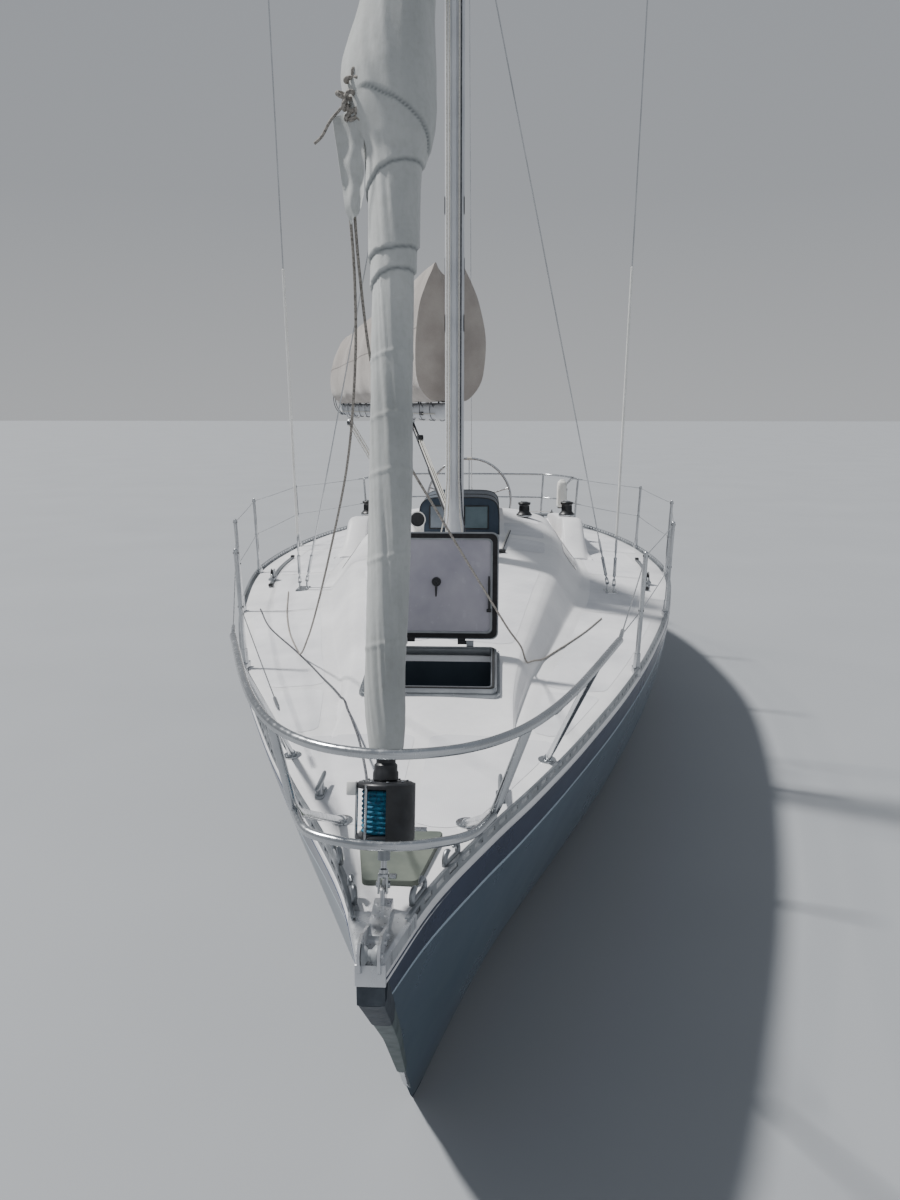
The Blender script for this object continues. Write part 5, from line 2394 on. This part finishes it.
def make_pedestal():
    shape = Shape()
    form = ((0.3905, 0.130, 0.110), (0.40, 0.130, 0.110), (0.408, 0.122, 0.103), (0.44, 0.103, 0.09),
            (0.59, 0.085, 0.075), (0.95, 0.078, 0.071), (1.30, 0.075, 0.070), (1.36, 0.082, 0.073),
            (1.44, 0.095, 0.080), (1.485, 0.095, 0.080), (1.497, 0.090, 0.075), (1.5, 0.082, 0.068))
    shape.add(loft([[(PEDESTAL_X + dx * math.cos(a), dy * math.sin(a), z) for a in around(36)]
                    for z, dx, dy in form]))
    for k in range(6):
        a = 2 * math.pi * k / 6 + 0.5
        shape.add(ball((PEDESTAL_X + 0.114 * math.cos(a), 0.095 * math.sin(a), 0.409), 0.007, 5, 10, 0.6), 1)
    dome = [(0.054 * math.cos(a), 0.014 + 0.044 * math.sin(a)) for a in np.linspace(0.1, 1.45, 9)]
    for compass, mark in (([(0.062, 0.0), (0.062, 0.012), (0.055, 0.014)], 2), (dome, 3)):
        shape.add(lathe(compass, 32), mark, Matrix.Translation((PEDESTAL_X, 0, 1.498)))
    shape.add(rod((PEDESTAL_X - 0.04, 0, WHEEL_Z), (WHEEL_X - 0.042, 0, WHEEL_Z), 0.012, 20), 1)
    shape.add(rod((PEDESTAL_X - 0.088, 0, WHEEL_Z), (PEDESTAL_X - 0.112, 0, WHEEL_Z), 0.030, 24, 0.024), 2)
    leg = [(-0.17, 0.3905), (-0.17, 0.7), (-0.17, 1.1), (-0.168, 1.42), (-0.152, 1.53), (-0.115, 1.578)]
    guard = leg + [(0, 1.58)] + [(-y, z) for y, z in leg[::-1]]
    shape.add(tube(spline([(GUARD_X, y, z) for y, z in guard], 80), 0.012, 14), 1)
    for side in SIDES:
        foot = lathe([(0.034, 0.0), (0.034, 0.004), (0.018, 0.012), (0.0145, 0.02)], 22)
        shape.add(shifted(foot, (GUARD_X, side * 0.17, 0.3905)), 1)
        boss = [(PEDESTAL_X, side * 0.078, 1.40), (PEDESTAL_X, side * 0.098, 1.40)]
        shape.add(tube(boss, [0.017, 0.015], 16), 2)
        lever = spline([(PEDESTAL_X, side * 0.092, 1.40), (PEDESTAL_X + 0.01, side * 0.1, 1.44),
                        (PEDESTAL_X + 0.03, side * 0.103, 1.49)], 10)
        shape.add(tube(lever, 0.005, 10), 1)
        shape.add(ball(lever[-1], 0.013, 7, 14), 2)
    shape.add(box((-3.212, -0.062, 1.419), (-3.142, 0.062, 1.4405), 0.005), 4)
    shape.add(pin((GUARD_X, 0, 1.308), -0.165, 0.165, 0.009, 14), 1)
    shape.add(box((-3.205, -0.03, 1.301), (-3.148, 0.03, 1.315), 0.003), 1)
    return shape.piece("steering_pedestal", [WHITE_PLASTIC, STAINLESS, BLACK, DARK_GLASS, TEAK],
                       replaces=["steering_pedestal"], slot="white_plastic")


def make_wheel():
    shape = Shape()
    rim = [(0, WHEEL_RADIUS * math.cos(a), WHEEL_RADIUS * math.sin(a))
           for a in np.linspace(0, 2 * math.pi, 121)]
    shape.add(tube(rim, 0.0138, 14, caps=False))
    turn = Matrix.Rotation(math.pi / 2, 4, "Y")
    bore = circle(0.0135, 32)
    shape.add(frame_ring(circle(0.045, 32), bore, -0.014, 0.014, 0.003), 0, turn)
    shape.add(frame_ring(circle(0.030, 32), bore, -0.022, 0.022, 0.002), 0, turn)
    for k in range(5):
        a = 2 * math.pi * k / 5 + math.pi / 2
        out = Vector((0, math.cos(a), math.sin(a)))
        stops = (0.04, 0.06, 0.2, 0.42, 0.452, 0.464)
        shape.add(tube([out * s for s in stops], [0.0105, 0.0085, 0.0075, 0.0072, 0.0085, 0.0115], 14))
    grip = []
    for k in range(97):
        a = math.pi / 2 + mix(-0.055, 0.055, k / 96)
        b = 2 * math.pi * k / 8
        radius = WHEEL_RADIUS + 0.0148 * math.cos(b)
        grip.append((0.0148 * math.sin(b), radius * math.cos(a), radius * math.sin(a)))
    shape.add(tube(grip, 0.0026, 6), 1)
    return shape.piece("steering_wheel", [STAINLESS, WHITE_LINE], "wheel", ["steering_wheel"], "stainless",
                       place=Matrix.Translation((WHEEL_X, 0, WHEEL_Z)))


def bag_place(a, share):
    """The rescue bag's skin: a stuffed, sagging form, squarer low down and softer at its flap."""
    z = mix(1.295, 1.628, share)
    fill = 0.86 + 0.14 * math.sin(math.pi * min(share * 1.15, 1.0)) ** 0.5
    close = smoothstep(0.0, 0.07, share) * 0.12 + 0.88
    top = 1 - 0.5 * smoothstep(0.86, 1.0, share) ** 2
    c, s = math.cos(a), math.sin(a)
    power = mix(0.42, 0.6, share)
    x = 0.077 * math.copysign(abs(c) ** power, c) * fill * close * top
    y = 0.060 * math.copysign(abs(s) ** power, s) * fill * close * top
    crease = 0.004 * noise.noise(Vector((9 * x, 9 * y, 9 * z))) + 0.0028 * math.sin(26 * z + 2 * c + 1.4 * s)
    slump = 0.006 * math.sin(math.pi * share) * (1 + c)
    return Vector((-4.23 + x * (1 + crease * 9) + 0.3 * slump, 1.1 + y * (1 + crease * 9), z - slump))


def make_rescue_bag():
    shape = Shape()
    shares = [mix(0.0, 1.0, k / 46) for k in range(47)]
    angles = np.linspace(0, 2 * math.pi, 64, endpoint=False)
    rows = [[bag_place(a, share) for a in angles] for share in shares]
    for row, share in zip(rows, shares):
        seam = 0.0022 * math.exp(-((share - 0.7) / 0.012) ** 2)
        seam -= 0.0018 * math.exp(-((share - 0.67) / 0.01) ** 2)
        for i, p in enumerate(row):
            away = Vector((p.x + 4.23, p.y - 1.1, 0)).normalized()
            row[i] = p + away * seam
    shape.add(loft(rows))
    shape.add(box((-4.295, 1.05, 1.287), (-4.165, 1.15, 1.2985), 0.005), 1)
    for a in (math.radians(40), math.radians(140), math.radians(220), math.radians(320)):
        shape.add(tube([bag_place(a, s) for s in (0.02, 0.2, 0.4, 0.6, 0.8, 0.95)], 0.003, 8), 0)
    for x in (-4.27, -4.19):
        strap = ((1.152, 1.56), (1.168, 1.60), (1.195, 1.63), (1.225 + 0.2 * (x + 4.19), 1.668),
                 (1.24 + 0.3 * (x + 4.19), 1.645), (1.2, 1.618), (1.165, 1.585))
        shape.add(tube(spline([(x, y, z) for y, z in strap], 26), 0.011, 8, 0.16), 1)
    for x in (-4.262, -4.198):
        shape.add(box((x - 0.014, 1.154, 1.5), (x + 0.014, 1.162, 1.525), 0.003), 1)
    obj = shape.mesh("rescue_bag", [WHITE_CLOTH, BLACK], 60)
    finish_piece(obj, replaces=["rescue_bag"])
    return obj


make_cockpit()
make_cockpit_teak()
make_locker_lids()
make_pedestal()
make_wheel()
make_rescue_bag()


# Under water: the fin keel, the rudder, and the propeller with its strut

def foil_outline(front, back, thickness, points=22):
    """Half of a section as (x, y), from its nose to its tail."""
    shares, widths = (0.0, 0.06, 0.2, 0.4, 0.7, 1.0), (0.0, 0.55, 0.95, 1.0, 0.6, 0.06)
    outline = []
    for k in range(points + 1):
        t = (k / points) ** 1.7
        width = math.sqrt(t / 0.06) * 0.55 if t < 0.06 else hermite(shares, widths, t)
        outline.append((front - t * (front - back), 0.5 * thickness * width))
    return outline


def foil(rows, steps=6):
    """A lofted foil through rows of (front, back, thickness, z)."""
    rings = []
    for first, last in zip(rows, rows[1:]):
        for k in range(steps + (last is rows[-1])):
            front, back, thickness, z = (mix(a, b, k / steps) for a, b in zip(first, last))
            half = foil_outline(front, back, thickness)
            rings.append([(x, y, z) for x, y in half] + [(x, -y, z) for x, y in half[:0:-1]])
    return loft(rings)


def make_keel():
    rows = ((0.95, -0.9, 0.2, -0.44), (0.88, -0.88, 0.195, -0.48), (0.43, -0.769, 0.153, -1.81),
            (0.405, -0.762, 0.148, -1.88), (0.38, -0.74, 0.11, -1.9))
    return Shape().add(foil(rows)).piece("fin_keel", [ANTIFOULING], replaces=["fin_keel"],
                                         slot="antifouling", angle=45)


def make_rudder():
    shape = Shape()
    rows = ((-3.83, -4.44, 0.095, -0.15), (-3.8878, -4.3, 0.0634, -1.44), (-3.89, -4.292, 0.06, -1.485),
            (-3.91, -4.27, 0.035, -1.5))
    shape.add(foil(rows))
    shape.add(rod((-3.96, 0, -0.17), (-3.96, 0, 0.3), 0.0258, 24), 1)
    return shape.piece("rudder", [ANTIFOULING, STAINLESS], "rudder", ["rudder"], "antifouling", angle=45)


SHAFT_START, SHAFT_ALONG = Vector((-2.25, 0, -0.44)), Vector((-0.984992, 0, -0.172599))
SHAFT_PLACE = (Matrix.Translation(SHAFT_START)
               @ Matrix.Rotation(math.atan2(SHAFT_ALONG.x, SHAFT_ALONG.z), 4, "Y"))


def make_propeller():
    shape = Shape()
    shape.add(rod((0, 0, 0.01), (0, 0, 0.9), 0.0139, 20), 1)
    hub = [(0.028, 0.0), (0.036, 0.004), (0.0395, 0.02), (0.04, 0.03), (0.0395, 0.055), (0.036, 0.08),
           (0.026, 0.104), (0.016, 0.12), (0.01, 0.124)]
    shape.add(shifted(lathe(hub, 30), (0, 0, 0.86)))
    # Each section of a blade: its radius, half its chord and half its thickness.
    blade = ((0.03, 0.026, 0.009), (0.06, 0.037, 0.0085), (0.09, 0.047, 0.0078), (0.12, 0.0525, 0.007),
             (0.15, 0.051, 0.006), (0.175, 0.046, 0.005), (0.195, 0.034, 0.004), (0.207, 0.023, 0.0035),
             (0.212, 0.014, 0.003))
    for k in range(2):
        rings = []
        for r, half, thick in blade:
            twist = math.radians(60 - 170 * r)
            ring = []
            for a in around(24):
                u, v = half * math.cos(a), thick * math.sin(a)
                ring.append(Vector((u * math.cos(twist) - v * math.sin(twist), r,
                                    u * math.sin(twist) + v * math.cos(twist))))
            rings.append(ring)
        shape.add(loft(rings), 0, Matrix.Translation((0, 0, 0.9)) @ Matrix.Rotation(math.pi * k, 4, "Z"))
    return shape.piece("propeller", [BRONZE, STAINLESS], "propeller", ["propeller"], "bronze",
                       place=SHAFT_PLACE)


def make_strut():
    shape = Shape()
    shape.add(frame_ring(circle(0.032, 30), circle(0.0149, 30), 0.725, 0.815, 0.004), 0, SHAFT_PLACE)
    at = SHAFT_START + SHAFT_ALONG * 0.77
    rings = []
    for k in range(9):
        t = k / 8
        half = mix(0.060, 0.045, t) * (1 + 0.3 * (1 - t) ** 6)
        z = mix(-0.25, at.z + 0.024, t)
        rings.append([(at.x + 0.06 * (1 - t) + half * math.cos(a), 0.012 * math.sin(a), z)
                      for a in around(24)])
    shape.add(loft(rings))
    return shape.piece("shaft_strut", [BRONZE], replaces=["shaft_strut"], slot="bronze")


def make_forestay_head():
    """The stay's bare wire above the roll, with its swaged end and toggle at the mast."""
    shape = Shape()
    length = (STAY_HEAD - STAY_FOOT).length
    shape.add(tube([(0, 0, s) for s in (12.501, 12.52, 12.524, length - 0.16, length - 0.155, length - 0.03)],
                   [0.009, 0.009, 0.006, 0.006, 0.009, 0.009], 14))
    for side in SIDES:
        cheek = (0, side * 0.0035, length)
        shape.add(block(cheek, (-0.009, -0.0015, -0.035), (0.009, 0.0015, 0.0172), 0.001))
    return shape.piece("forestay_head", [STAINLESS], replaces=["forestay_head"], slot="stainless",
                       place=STAY_PLACE)


make_keel()
make_rudder()
make_propeller()
make_strut()
make_forestay_head()
